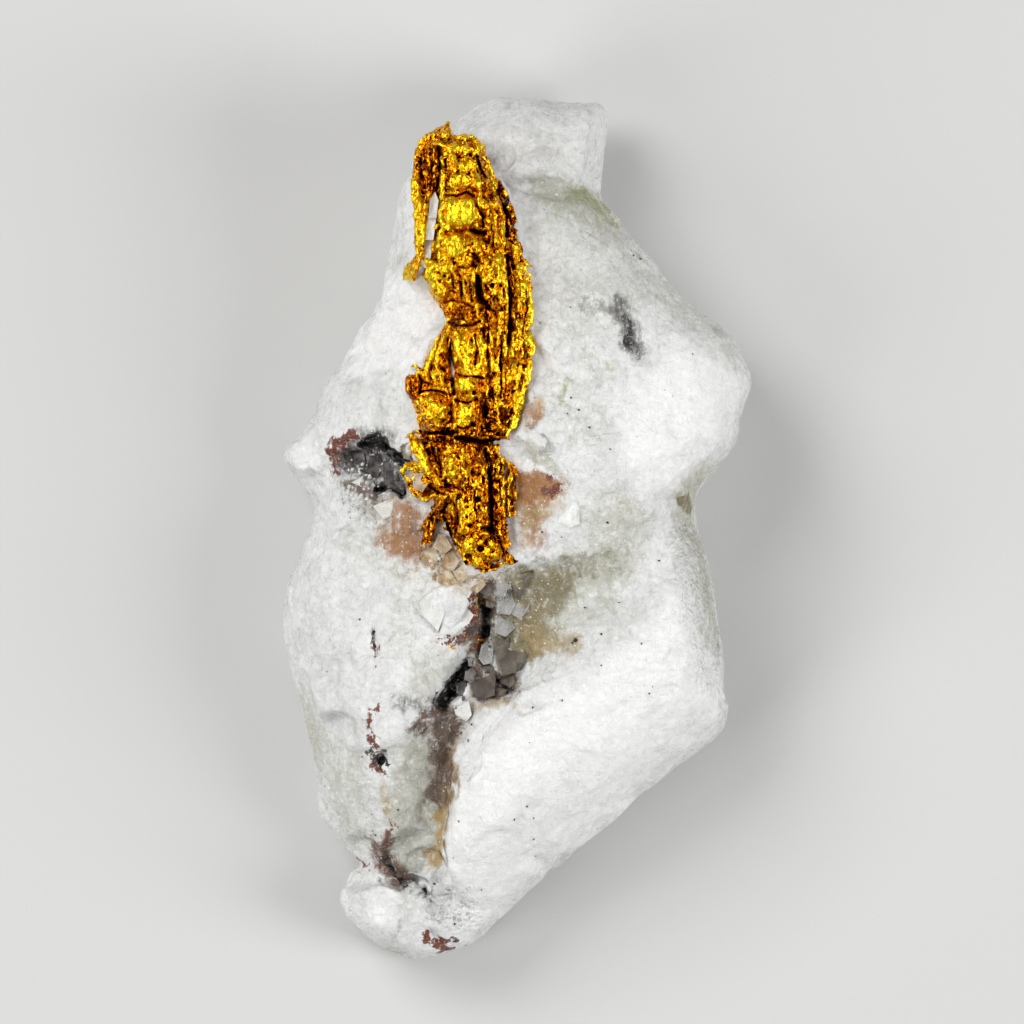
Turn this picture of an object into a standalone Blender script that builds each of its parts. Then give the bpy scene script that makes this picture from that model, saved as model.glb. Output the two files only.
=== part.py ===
"""Native gold on milky quartz: a small broken specimen, lying on its back.

Metres, +Z up. The long axis is Y, the face that carries the gold looks up +Z, and the flat
break on the back lies on z = 0. Sizes in the constants and tables below are in millimetres.
"""

import bmesh
import bpy
from mathutils import Matrix, Vector, noise
from mathutils.geometry import delaunay_2d_cdt

MM = 0.001

# The quartz: how its blocks are rounded, fused and broken.
WAIST_SHARE = 0.55  # height of a block's widest line, as a share of its edge height
FOOT_INSET = 1.0  # how far the back edge lies inside the widest line
SWELL = 0.22  # outward allowance for what subdivision rounds away down the sides
CORNER_SWELL = 0.33  # the same at a corner, as a share of how far it stands out
ROUNDING_LEVELS = 2
QUARTZ_VOXEL = 0.30
QUARTZ_TRIANGLES = 5600
FRACTURE_DEPTH = 0.10  # unevenness of the broken faces
FRACTURE_SIZE = 2.6  # distance between its hollows
FRACTURE_FALL = 0.8  # how fast its finer octaves fade
FRACTURE_STEP = 2.2  # how much finer each octave is than the last
FRACTURE_OCTAVES = 3
BREAK_HEIGHT = 0.0  # the flat break on the back, which the specimen rests on

# The gold, and the trough that it fills.
GOLD_VOXEL = 0.20
GOLD_TRIANGLES = 3000
GOLD_GAP = 0.30  # clearance between the gold and its trough
TUBE_SIDES = 3  # bevel resolution of a strand
TUBE_STEPS = 6  # spans between two points of a strand
WELD = 0.001  # distance within which a strand's caps join its tube

SOFTENING = 2  # rounds of smoothing after fusing, on the quartz and on the gold
RING_REPAIRS = 6  # rounds in which an offset ring is untangled
EDGE_LEFT = 0.15  # least share of its length that an edge keeps when its ring is offset
CDT_INSIDE = 1  # keep only the triangles that lie inside the ring
CDT_MARGIN = 1e-6

# The see-through gap between the lobes and the body: its corners, and a plug that opens it,
# from below the back to above the front, narrower at the back.
GAP_CORNERS = [(-4.85, -16.85), (-4.05, -16.35), (-3.95, -17.15), (-4.6, -17.2)]
GAP_BACK = (-1.0, 0.8)  # height and width, as a share of the width that the corners give
GAP_FRONT = (9.0, 1.25)

MILKY_WHITE = (0.86, 0.86, 0.84, 1.0)
QUARTZ_ROUGHNESS = 0.35
RICH_GOLD = (0.95, 0.60, 0.10, 1.0)
GOLD_ROUGHNESS = 0.30

# Each block of the quartz has an outline of (x, y, edge height), clockwise from its top left,
# a crown of (x, y, height) through which its front face passes, the height of its back edge,
# and the inset of its front edge from its widest line, small where that edge is crisp.
BLOCKS = {
    "main_body": {
        "outline": [
            (-4.8, 16.4, 7.0), (-3.4, 17.0, 8.0), (-1.4, 16.9, 9.0), (0.7, 16.1, 9.4),
            (2.7, 15.8, 8.4), (4.2, 14.9, 7.4), (5.3, 13.8, 7.4), (6.4, 12.3, 7.4),
            (7.5, 11.0, 7.6), (8.5, 10.0, 7.8), (9.8, 9.1, 7.8), (10.3, 8.3, 7.6),
            (10.9, 7.0, 7.6), (10.9, 6.2, 7.6), (10.4, 5.3, 8.0), (10.2, 3.9, 8.4),
            (9.8, 3.3, 8.6), (8.9, 2.3, 8.6), (8.2, 1.2, 8.4), (8.1, -0.2, 7.6),
            (8.5, -1.8, 7.0), (8.9, -3.6, 6.6), (9.2, -5.9, 6.2), (9.2, -7.9, 5.8),
            (8.4, -9.9, 5.4), (6.0, -11.9, 5.2), (2.9, -14.5, 5.0), (0.4, -16.5, 4.6),
            (-1.6, -17.8, 4.2), (-3.4, -16.9, 4.6), (-4.95, -16.9, 5.0), (-6.7, -15.9, 4.6),
            (-7.8, -15.2, 4.4), (-8.3, -14.2, 4.2), (-9.15, -13.55, 3.8), (-9.3, -12.6, 4.2),
            (-9.4, -10.8, 5.0), (-9.8, -9.2, 5.2), (-10.2, -7.6, 5.4), (-10.7, -5.9, 5.6),
            (-10.95, -4.0, 5.6), (-10.7, -2.6, 5.8), (-10.2, -1.2, 5.8), (-9.8, -0.2, 5.8),
            (-9.4, 1.2, 5.8), (-9.9, 1.8, 5.6), (-10.7, 3.1, 5.2), (-10.8, 3.5, 5.2),
            (-10.4, 4.0, 5.6), (-9.6, 4.8, 5.8), (-9.4, 5.8, 5.8), (-8.9, 6.8, 5.8),
            (-7.7, 8.4, 5.8), (-6.8, 10.1, 5.6), (-6.2, 11.1, 5.4), (-5.95, 12.6, 5.4),
            (-5.7, 14.3, 5.6), (-5.4, 15.8, 6.0),
        ],
        "crown": [
            (-2.9, 14.4, 9.8), (-2.0, 10.5, 10.5), (-2.2, 6.8, 10.9), (-2.4, 4.0, 10.7),
            (-2.0, 0.8, 10.2), (-1.3, -2.0, 9.5), (-4.6, 12.5, 8.4), (-5.0, 9.0, 9.0),
            (-6.6, 6.6, 8.2), (-8.2, 5.0, 7.2), (-8.8, 3.3, 7.0), (-6.6, 3.0, 7.9),
            (-8.2, 0.6, 7.0), (-5.4, 0.2, 8.9), (-4.4, 4.8, 9.6), (1.8, 13.9, 10.0),
            (4.6, 12.3, 9.1), (1.8, 9.2, 10.8), (6.0, 8.9, 9.5), (8.6, 7.6, 8.8),
            (1.8, 4.6, 11.0), (5.6, 5.2, 10.2), (8.4, 5.2, 9.4), (7.2, 2.9, 10.2),
            (3.6, 1.4, 10.4), (1.4, -0.8, 9.9), (4.6, -1.0, 9.5), (6.6, 0.8, 9.4),
            (2.6, -3.2, 8.8), (0.2, -4.4, 8.6), (5.4, -4.6, 9.0), (7.0, -2.0, 8.8),
            (3.0, -7.2, 8.8), (5.6, -8.8, 7.6), (1.4, -11.2, 7.8), (-1.0, -14.0, 6.8),
            (-0.9, -6.2, 7.5), (-1.9, -8.2, 7.2), (-3.2, -10.4, 6.8), (-3.9, -12.6, 6.4),
            (-4.4, -14.8, 6.0), (-9.0, -3.5, 7.3), (-7.2, -1.2, 8.1), (-5.0, -2.0, 8.9),
            (-3.0, -3.6, 8.9), (-7.2, -5.5, 8.3), (-4.6, -6.4, 8.6), (-8.5, -8.0, 6.9),
            (-6.4, -9.0, 7.9), (-3.9, -8.4, 8.0), (-8.0, -11.3, 6.4), (-6.1, -11.2, 7.5),
            (-5.0, -11.6, 7.2), (-7.1, -13.6, 6.0), (-5.7, -14.4, 6.3),
        ],
        "back": -0.7,
        "inset": 0.75,
    },
    "top_block": {
        "outline": [
            (-3.6, 18.1, 5.6), (-2.9, 18.7, 5.6), (-2.2, 19.3, 5.6), (-1.3, 19.8, 5.6),
            (-0.4, 20.1, 5.8), (0.9, 20.0, 5.8), (1.8, 19.7, 5.6), (2.9, 19.7, 5.4),
            (3.6, 19.85, 5.4), (4.1, 19.5, 5.2), (4.3, 18.9, 5.2), (4.2, 17.6, 5.2),
            (3.95, 16.2, 5.4), (3.9, 15.2, 5.6), (2.5, 14.0, 6.0), (-1.0, 14.5, 6.0),
            (-4.0, 15.0, 6.0), (-4.8, 16.4, 5.8), (-4.3, 17.4, 5.6),
        ],
        "crown": [
            (-2.3, 18.2, 6.9), (0.2, 18.4, 7.3), (2.8, 18.3, 6.7), (0.0, 16.6, 7.9),
            (2.5, 16.6, 7.3), (-2.6, 16.6, 7.6),
        ],
        "back": 1.6,
        "inset": 0.6,
    },
    "notch_plate": {
        "outline": [
            (8.6, 4.4, 6.2), (9.8, 3.6, 6.0), (9.2, 2.8, 6.0), (8.75, 2.1, 6.0),
            (8.35, 1.2, 6.0), (8.15, 0.5, 6.2), (8.3, -0.4, 6.4), (7.2, -1.5, 6.8),
            (6.0, 0.0, 7.0), (6.4, 2.6, 6.8),
        ],
        "crown": [(7.6, 1.2, 7.0), (8.2, 2.8, 6.8)],
        "back": -0.3,
        "inset": 0.4,
    },
    "flange": {
        "outline": [
            (6.4, 0.0, 8.2), (8.0, 0.2, 8.6), (8.4, -0.6, 8.4), (8.75, -1.6, 8.0),
            (9.0, -2.9, 7.6), (9.25, -4.3, 7.2), (9.4, -5.9, 7.0), (9.6, -6.7, 6.8),
            (9.45, -7.2, 6.8), (9.5, -7.9, 6.8), (10.0, -8.6, 6.6), (9.6, -9.3, 6.4),
            (8.6, -10.1, 6.2), (6.0, -12.2, 6.0), (2.9, -14.8, 5.6), (1.7, -15.9, 5.4),
            (0.4, -16.8, 5.2), (-0.6, -17.9, 4.8), (-1.7, -18.7, 4.6), (-2.8, -18.0, 5.2),
            (-3.5, -17.2, 5.8), (-4.2, -16.0, 7.0), (-3.6, -15.3, 7.4), (-3.5, -14.0, 8.0),
            (-3.2, -12.6, 8.5), (-2.8, -10.7, 8.9), (-1.6, -9.2, 9.2), (-0.4, -7.9, 9.2),
            (0.2, -6.3, 8.6), (1.6, -4.6, 7.8), (4.0, -2.4, 7.8),
        ],
        "crown": [
            (7.0, -1.7, 9.9), (7.3, -4.4, 10.2), (7.7, -7.6, 9.3), (5.0, -4.2, 10.1),
            (2.4, -6.4, 10.0), (5.4, -9.4, 9.2), (1.4, -9.4, 10.1), (3.0, -11.9, 8.7),
            (-0.4, -12.4, 9.4), (-1.9, -14.6, 8.4), (0.4, -14.7, 7.4), (-2.4, -16.8, 6.8),
        ],
        "back": -0.7,
        "inset": 0.4,
    },
    "left_skin": {
        "outline": [
            (-8.4, 0.6, 6.9), (-9.3, -1.4, 6.5), (-9.9, -3.6, 6.3), (-9.7, -5.8, 6.2),
            (-9.3, -8.2, 6.5), (-8.5, -9.1, 7.0), (-8.0, -9.9, 7.2), (-7.3, -10.2, 7.5),
            (-6.7, -10.1, 7.9), (-5.6, -9.9, 8.1), (-4.6, -9.4, 8.2), (-3.6, -8.4, 8.4),
            (-2.6, -6.6, 8.6), (-2.4, -4.4, 8.7), (-3.0, -1.6, 8.6), (-5.4, 0.4, 8.4),
        ],
        "crown": [
            (-8.6, -3.6, 7.8), (-7.2, -1.2, 8.4), (-5.0, -2.2, 9.2), (-7.2, -5.6, 8.7),
            (-4.8, -5.6, 9.1), (-8.2, -7.8, 7.5), (-6.2, -8.6, 8.5),
        ],
        "back": 3.0,
        "inset": 0.3,
    },
    "corner_crystal": {
        "outline": [
            (-4.4, -2.3, 9.4), (-3.0, -2.4, 9.6), (-1.9, -3.2, 9.5), (-2.0, -4.9, 9.4),
            (-3.2, -5.2, 9.4), (-4.2, -4.0, 9.5),
        ],
        "crown": [(-3.3, -3.2, 9.9), (-2.6, -4.2, 9.8)],
        "back": 5.0,
        "inset": 0.25,
    },
    "left_lobe": {
        "outline": [
            (-6.3, -16.1, 4.4), (-7.2, -16.2, 4.2), (-7.7, -16.6, 4.0), (-8.0, -17.2, 3.8),
            (-7.7, -17.8, 3.8), (-6.7, -18.7, 3.8), (-5.9, -19.2, 3.8), (-5.2, -18.6, 4.2),
            (-4.5, -17.7, 4.4), (-4.6, -17.1, 4.4), (-5.3, -16.7, 4.6),
        ],
        "crown": [(-6.6, -17.2, 5.6), (-6.0, -18.2, 5.4)],
        "back": 1.2,
        "inset": 0.6,
    },
    "bottom_lobe": {
        "outline": [
            (-5.9, -19.1, 3.6), (-5.2, -19.5, 3.6), (-4.1, -19.7, 3.8), (-3.4, -19.3, 4.0),
            (-2.6, -19.1, 4.2), (-1.6, -18.6, 4.6), (-1.0, -17.4, 5.0), (-2.9, -17.0, 5.0),
            (-3.9, -17.15, 4.8), (-4.6, -17.4, 4.6), (-4.9, -18.0, 4.4), (-5.4, -18.8, 4.0),
        ],
        "crown": [(-4.2, -18.4, 5.4), (-2.8, -18.2, 5.7)],
        "back": 0.8,
        "inset": 0.5,
    },
}

# The gold is a bundle of bent, ropy crystals. Each strand is a list of (x, y, z, radius).
GOLD_STRANDS = {
    "spine": [
        (-3.0, 17.8, 9.0, 0.70), (-2.9, 16.2, 10.0, 1.15), (-2.3, 14.2, 10.8, 1.45),
        (-1.9, 12.1, 11.2, 1.55), (-1.6, 10.4, 11.3, 1.40), (-1.7, 8.4, 11.4, 1.25),
        (-2.2, 6.6, 11.3, 1.40), (-2.4, 4.7, 11.1, 1.25), (-2.2, 2.9, 10.9, 1.20),
        (-1.9, 0.8, 10.7, 1.15), (-1.6, -0.9, 10.2, 0.95), (-1.4, -1.7, 9.8, 0.60),
    ],
    "left_ridge": [
        (-3.2, 15.2, 10.0, 0.45), (-3.3, 13.6, 10.4, 0.55), (-3.4, 12.2, 10.6, 0.75),
        (-3.0, 10.8, 10.9, 0.65), (-2.8, 9.4, 11.1, 0.45),
    ],
    "right_rope": [
        (-1.6, 16.8, 9.9, 0.40), (-0.8, 15.0, 10.8, 0.60), (-0.2, 12.8, 11.2, 0.65),
        (0.2, 10.5, 11.4, 0.62), (0.3, 8.4, 11.4, 0.60), (-0.1, 6.1, 11.2, 0.60),
        (-0.6, 4.2, 10.9, 0.40),
    ],
    "arm": [
        (-3.5, 17.8, 9.1, 0.60), (-4.2, 16.6, 9.3, 0.60), (-4.3, 14.9, 9.6, 0.45),
        (-4.3, 13.0, 9.9, 0.35), (-4.9, 11.5, 9.6, 0.30),
    ],
    "crest": [(-3.6, 18.1, 8.9, 0.35), (-2.5, 18.0, 9.3, 0.45), (-1.7, 17.6, 9.6, 0.45)],
    "left_bulge": [
        (-3.0, 9.2, 11.1, 0.55), (-4.0, 7.7, 10.7, 0.70), (-4.5, 6.3, 10.4, 0.75),
        (-3.6, 5.0, 10.6, 0.80),
    ],
    "upper_fin": [(-4.9, 4.1, 10.2, 0.28), (-4.2, 2.9, 10.5, 0.45), (-3.2, 1.7, 10.7, 0.55)],
    "middle_fin": [(-5.1, 2.5, 9.7, 0.30), (-4.2, 1.9, 10.1, 0.45), (-3.2, 1.5, 10.5, 0.50)],
    "lower_fin": [(-4.2, -1.1, 9.4, 0.22), (-3.9, 0.0, 9.8, 0.38), (-3.0, 1.0, 10.4, 0.50)],
    "right_foot": [
        (-0.7, 3.6, 10.9, 0.50), (-0.4, 1.8, 10.8, 0.52), (-0.35, 0.0, 10.5, 0.48),
        (-0.4, -1.3, 10.0, 0.42),
    ],
}


def clear_scene():
    for obj in list(bpy.data.objects):
        bpy.data.objects.remove(obj)


def make_collection(name):
    collection = bpy.data.collections.new(name)
    bpy.context.scene.collection.children.link(collection)
    return collection


def make_material(name, colour, roughness, metallic):
    material = bpy.data.materials.new(name)
    material.use_nodes = True
    shader = material.node_tree.nodes["Principled BSDF"]
    shader.inputs["Base Color"].default_value = colour
    shader.inputs["Roughness"].default_value = roughness
    shader.inputs["Metallic"].default_value = metallic
    return material


def object_from_bmesh(name, mesh_data, collection):
    mesh = bpy.data.meshes.new(name)
    mesh_data.to_mesh(mesh)
    mesh_data.free()
    obj = bpy.data.objects.new(name, mesh)
    collection.objects.link(obj)
    return obj


def apply_modifiers(obj):
    """Keeps what the modifiers make as the object's own mesh."""
    graph = bpy.context.evaluated_depsgraph_get()
    mesh = bpy.data.meshes.new_from_object(obj.evaluated_get(graph))
    obj.modifiers.clear()
    obj.data = mesh


def join_meshes(name, objects, collection):
    """One object that holds every mesh of a list, whose objects are then removed."""
    joined = bmesh.new()
    for obj in objects:
        joined.from_mesh(obj.data)
        bpy.data.objects.remove(obj)
    return object_from_bmesh(name, joined, collection)


def offset_ring(ring, distance):
    """A clockwise ring moved outwards by distance (in mm), along each corner's mean normal.

    Where an edge would turn back on itself, its two corners move half as far, and so on.
    """
    count = len(ring)
    normals = []
    for index in range(count):
        before = ring[index - 1]
        after = ring[(index + 1) % count]
        along = Vector((after[0] - before[0], after[1] - before[1])).normalized()
        normals.append(Vector((-along.y, along.x)))
    reach = [distance] * count
    for _ in range(RING_REPAIRS):
        moved = [Vector(point[:2]) + n * far for point, n, far in zip(ring, normals, reach)]
        turned = set()
        for index in range(count):
            after = (index + 1) % count
            edge = Vector(ring[after][:2]) - Vector(ring[index][:2])
            if edge.dot(moved[after] - moved[index]) < EDGE_LEFT * edge.length_squared:
                turned |= {index, after}
        for index in turned:
            reach[index] *= 0.5
    return [tuple(point) for point in moved]


def sharpen_ring(ring):
    """Each corner moved away from the middle of its two neighbours, before it is rounded."""
    sharper = []
    for index, corner in enumerate(ring):
        before = Vector(ring[index - 1][:2])
        after = Vector(ring[(index + 1) % len(ring)][:2])
        place = Vector(corner[:2])
        sharper.append(tuple(place + (place - (before + after) / 2) * CORNER_SWELL))
    return sharper


def fill_ring(mesh_data, ring, inner, upwards):
    """Triangles that fill a ring of vertices and pass through the vertices inside it."""
    vertices = ring + inner
    flat = [Vector((v.co.x, v.co.y)) / MM for v in vertices]
    edges = [(i, (i + 1) % len(ring)) for i in range(len(ring))]
    found = delaunay_2d_cdt(flat, edges, [], CDT_INSIDE, CDT_MARGIN)
    sources = found[3]
    for face in found[2]:
        corners = [vertices[sources[i][0]] for i in face]
        if not upwards:
            corners.reverse()
        mesh_data.faces.new(corners)


def make_block(name, plan, collection):
    """A rounded block: back edge, widest line and front edge as rings, and a crown on top."""
    outline = plan["outline"]
    edge = [point[2] for point in outline]
    widest = offset_ring(sharpen_ring(outline), SWELL)
    front = offset_ring(outline, -plan["inset"])
    back = offset_ring(outline, -FOOT_INSET)
    mesh_data = bmesh.new()

    def add_ring(places, heights):
        return [
            mesh_data.verts.new((x * MM, y * MM, z * MM)) for (x, y), z in zip(places, heights)
        ]

    front_ring = add_ring(front, edge)
    widest_ring = add_ring(widest, [z * WAIST_SHARE for z in edge])
    back_ring = add_ring(back, [plan["back"]] * len(edge))
    crown = [mesh_data.verts.new((x * MM, y * MM, z * MM)) for x, y, z in plan["crown"]]
    for upper, lower in ((front_ring, widest_ring), (widest_ring, back_ring)):
        for i, corner in enumerate(upper):
            after = (i + 1) % len(upper)
            mesh_data.faces.new((corner, upper[after], lower[after], lower[i]))
    fill_ring(mesh_data, front_ring, crown, True)
    fill_ring(mesh_data, back_ring, [], False)
    bmesh.ops.recalc_face_normals(mesh_data, faces=mesh_data.faces)
    block = object_from_bmesh(name, mesh_data, collection)
    rounding = block.modifiers.new("rounding", "SUBSURF")
    rounding.levels = rounding.render_levels = ROUNDING_LEVELS
    apply_modifiers(block)
    return block


def remesh(obj, voxel):
    """Fuses overlapping closed shapes into one even skin."""
    skin = obj.modifiers.new("skin", "REMESH")
    skin.mode = "VOXEL"
    skin.voxel_size = voxel * MM
    apply_modifiers(obj)


def soften(obj):
    easing = obj.modifiers.new("easing", "SMOOTH")
    easing.iterations = SOFTENING
    apply_modifiers(obj)


def roughen(obj):
    """Pushes each point along its normal by a smooth, fixed noise."""
    pushes = []
    for vertex in obj.data.vertices:
        place = vertex.co / (FRACTURE_SIZE * MM)
        swing = noise.fractal(place, FRACTURE_FALL, FRACTURE_STEP, FRACTURE_OCTAVES)
        pushes.append(vertex.normal * swing * FRACTURE_DEPTH * MM)
    for vertex, push in zip(obj.data.vertices, pushes):
        vertex.co += push


def cut(obj, cutter):
    boolean = obj.modifiers.new("cut", "BOOLEAN")
    boolean.operation = "DIFFERENCE"
    boolean.object = cutter
    apply_modifiers(obj)


def thin_out(obj, triangles):
    """Collapses edges where the surface is plain, down to about this many triangles."""
    obj.data.calc_loop_triangles()
    fewer = obj.modifiers.new("fewer", "DECIMATE")
    fewer.ratio = triangles / len(obj.data.loop_triangles)
    apply_modifiers(obj)


def cut_flat(obj, height):
    """Cuts off all below a height and closes the cut with one flat face."""
    mesh_data = bmesh.new()
    mesh_data.from_mesh(obj.data)
    everything = mesh_data.verts[:] + mesh_data.edges[:] + mesh_data.faces[:]
    plane = Vector((0.0, 0.0, height * MM))
    found = bmesh.ops.bisect_plane(
        mesh_data, geom=everything, plane_co=plane, plane_no=(0, 0, 1), clear_inner=True
    )
    rim = [item for item in found["geom_cut"] if isinstance(item, bmesh.types.BMEdge)]
    bmesh.ops.triangle_fill(mesh_data, edges=rim, use_beauty=True)
    bmesh.ops.recalc_face_normals(mesh_data, faces=mesh_data.faces)
    mesh_data.to_mesh(obj.data)
    mesh_data.free()


def mark_as_cutter(obj):
    obj.hide_render = True
    obj.display_type = "WIRE"
    return obj


def make_gap_cutter(collection):
    """A tapered four-sided plug, wide at the front, that opens the gap between the lobes."""
    mesh_data = bmesh.new()
    centre = Vector((0.0, 0.0))
    for x, y in GAP_CORNERS:
        centre += Vector((x, y)) / len(GAP_CORNERS)
    rings = []
    for height, spread in (GAP_BACK, GAP_FRONT):
        corners = [centre + (Vector(corner) - centre) * spread for corner in GAP_CORNERS]
        rings.append([mesh_data.verts.new((c.x * MM, c.y * MM, height * MM)) for c in corners])
    low, high = rings
    for i in range(len(low)):
        after = (i + 1) % len(low)
        mesh_data.faces.new((low[i], low[after], high[after], high[i]))
    mesh_data.faces.new(high)
    mesh_data.faces.new(list(reversed(low)))
    bmesh.ops.recalc_face_normals(mesh_data, faces=mesh_data.faces)
    return mark_as_cutter(object_from_bmesh("gap_cutter", mesh_data, collection))


def mesh_of_curve(curve_object):
    """The closed mesh of a tube, with its caps welded on."""
    graph = bpy.context.evaluated_depsgraph_get()
    mesh = bpy.data.meshes.new_from_object(curve_object.evaluated_get(graph))
    welded = bmesh.new()
    welded.from_mesh(mesh)
    bmesh.ops.remove_doubles(welded, verts=welded.verts, dist=WELD * MM)
    bmesh.ops.recalc_face_normals(welded, faces=welded.faces)
    welded.to_mesh(mesh)
    welded.free()
    return mesh


def make_strand(name, points, extra_radius, collection):
    """A tube through a strand's points, thicker than drawn by extra_radius."""
    curve = bpy.data.curves.new(name, "CURVE")
    curve.dimensions = "3D"
    curve.bevel_depth = MM
    curve.bevel_resolution = TUBE_SIDES
    curve.use_fill_caps = True
    curve.resolution_u = TUBE_STEPS
    spline = curve.splines.new("BEZIER")
    spline.bezier_points.add(len(points) - 1)
    for knot, (x, y, z, radius) in zip(spline.bezier_points, points):
        knot.co = Vector((x, y, z)) * MM
        knot.radius = radius + extra_radius
        knot.handle_left_type = knot.handle_right_type = "AUTO"
    tube = bpy.data.objects.new(name, curve)
    collection.objects.link(tube)
    strand = bpy.data.objects.new(name + "_solid", mesh_of_curve(tube))
    bpy.data.objects.remove(tube)
    collection.objects.link(strand)
    return strand


def make_gold_bundle(name, extra_radius, collection):
    """Every strand fused into one body, thicker than drawn by extra_radius."""
    strands = [
        make_strand(strand, points, extra_radius, collection)
        for strand, points in GOLD_STRANDS.items()
    ]
    bundle = join_meshes(name, strands, collection)
    remesh(bundle, GOLD_VOXEL)
    soften(bundle)
    return bundle


def finish(obj, material):
    obj.data.materials.clear()
    obj.data.materials.append(material)
    obj.data.shade_smooth()
    return obj


def make_quartz(parts, cutters):
    blocks = [make_block(name, plan, parts) for name, plan in BLOCKS.items()]
    quartz = join_meshes("quartz_mass", blocks, parts)
    remesh(quartz, QUARTZ_VOXEL)
    soften(quartz)
    roughen(quartz)
    cut(quartz, mark_as_cutter(make_gold_bundle("trough_cutter", GOLD_GAP, cutters)))
    cut(quartz, make_gap_cutter(cutters))
    thin_out(quartz, QUARTZ_TRIANGLES)
    cut_flat(quartz, BREAK_HEIGHT)
    return finish(quartz, make_material("milky_quartz", MILKY_WHITE, QUARTZ_ROUGHNESS, 0.0))


def make_gold(parts):
    gold = make_gold_bundle("gold_growth", 0.0, parts)
    thin_out(gold, GOLD_TRIANGLES)
    return finish(gold, make_material("native_gold", RICH_GOLD, GOLD_ROUGHNESS, 1.0))


def centre_over_origin(solids, others):
    """Slides every mesh sideways until the box around the solids is centred on the Z axis."""
    corners = [vertex.co for obj in solids for vertex in obj.data.vertices]
    middle = Vector((0.0, 0.0, 0.0))
    for axis in (0, 1):
        places = [corner[axis] for corner in corners]
        middle[axis] = (min(places) + max(places)) / 2
    for obj in solids + others:
        obj.data.transform(Matrix.Translation(-middle))


def main():
    clear_scene()
    parts = make_collection("gold_on_quartz")
    cutters = make_collection("cutters")
    solids = [make_quartz(parts, cutters), make_gold(parts)]
    centre_over_origin(solids, list(cutters.objects))


main()
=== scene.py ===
import math
import random

import bpy
import numpy as np
from mathutils import Matrix, Vector, noise
from mathutils.bvhtree import BVHTree
from mathutils.kdtree import KDTree


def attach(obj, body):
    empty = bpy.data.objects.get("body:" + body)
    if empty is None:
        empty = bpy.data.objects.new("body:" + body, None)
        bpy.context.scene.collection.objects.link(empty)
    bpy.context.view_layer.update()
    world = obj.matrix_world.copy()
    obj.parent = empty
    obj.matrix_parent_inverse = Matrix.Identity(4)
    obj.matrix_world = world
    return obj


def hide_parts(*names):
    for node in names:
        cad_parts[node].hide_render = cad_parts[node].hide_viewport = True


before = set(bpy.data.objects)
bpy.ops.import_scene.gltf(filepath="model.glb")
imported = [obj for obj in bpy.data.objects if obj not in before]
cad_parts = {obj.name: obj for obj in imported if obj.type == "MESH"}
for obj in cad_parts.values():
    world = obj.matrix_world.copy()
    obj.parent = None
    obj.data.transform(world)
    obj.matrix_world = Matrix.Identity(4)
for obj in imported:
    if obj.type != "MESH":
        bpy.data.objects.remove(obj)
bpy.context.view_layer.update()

mm = 0.001


# ---- small helpers, all in millimetres of the specimen's own frame

def clearSelection():
    if bpy.context.object and bpy.context.object.mode != "OBJECT":
        bpy.ops.object.mode_set(mode="OBJECT")
    bpy.ops.object.select_all(action="DESELECT")


def pickOnly(piece):
    clearSelection()
    piece.select_set(True)
    bpy.context.view_layer.objects.active = piece


def applyModifier(piece, kind, **settings):
    pickOnly(piece)
    modifier = piece.modifiers.new(kind.lower(), kind)
    for key, value in settings.items():
        setattr(modifier, key, value)
    bpy.ops.object.modifier_apply(modifier=modifier.name)


def copyOfNode(name, newName):
    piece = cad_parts[name].copy()
    piece.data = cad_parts[name].data.copy()
    for key in list(piece.keys()):
        del piece[key]
    piece.parent = None
    piece.name = piece.data.name = newName
    bpy.context.scene.collection.objects.link(piece)
    pickOnly(piece)
    bpy.ops.object.mode_set(mode="EDIT")
    bpy.ops.mesh.select_all(action="SELECT")
    bpy.ops.mesh.remove_doubles(threshold=0.002 * mm)
    bpy.ops.object.mode_set(mode="OBJECT")
    return piece


def readPoints(piece):
    points = np.empty(len(piece.data.vertices) * 3, np.float32)
    piece.data.vertices.foreach_get("co", points)
    return points.reshape(-1, 3).astype(float) / mm


def writePoints(piece, points):
    piece.data.vertices.foreach_set("co", (points * mm).astype(np.float32).ravel())
    piece.data.update()


def readNormals(piece):
    normals = np.empty(len(piece.data.vertices) * 3, np.float32)
    piece.data.vertices.foreach_get("normal", normals)
    return normals.reshape(-1, 3).astype(float)


def readEdges(piece):
    edges = np.empty(len(piece.data.edges) * 2, np.int32)
    piece.data.edges.foreach_get("vertices", edges)
    return edges.reshape(-1, 2)


def smoothStep(low, high, value):
    share = np.clip((value - low) / (high - low), 0, 1)
    return share * share * (3 - 2 * share)


def lineDistance(points, line):
    # distance to the nearest stretch of a line seen from above, and the side: + is left of it
    best = np.full(len(points), 1e9)
    side = np.zeros(len(points))
    spots = points[:, :2]
    for start, end in zip(line[:-1], line[1:]):
        start, end = np.array(start[:2], float), np.array(end[:2], float)
        along = end - start
        share = np.clip((spots - start) @ along / (along @ along), 0, 1)
        gap = spots - (start + share[:, None] * along)
        distance = np.hypot(gap[:, 0], gap[:, 1])
        closer = distance < best
        best[closer] = distance[closer]
        side[closer] = np.sign(along[0] * gap[closer, 1] - along[1] * gap[closer, 0])
    return best, side


def insidePatch(points, ring):
    # how far inside a closed outline each point lies, seen from above; negative outside
    distance, _ = lineDistance(points, list(ring) + [ring[0]])
    inside = np.zeros(len(points), bool)
    x, y = points[:, 0], points[:, 1]
    for (ax, ay), (bx, by) in zip(ring, list(ring[1:]) + [ring[0]]):
        crosses = (ay > y) != (by > y)
        inside ^= crosses & (x < (bx - ax) * (y - ay) / ((by - ay) or 1e-9) + ax)
    return np.where(inside, distance, -distance)


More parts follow.
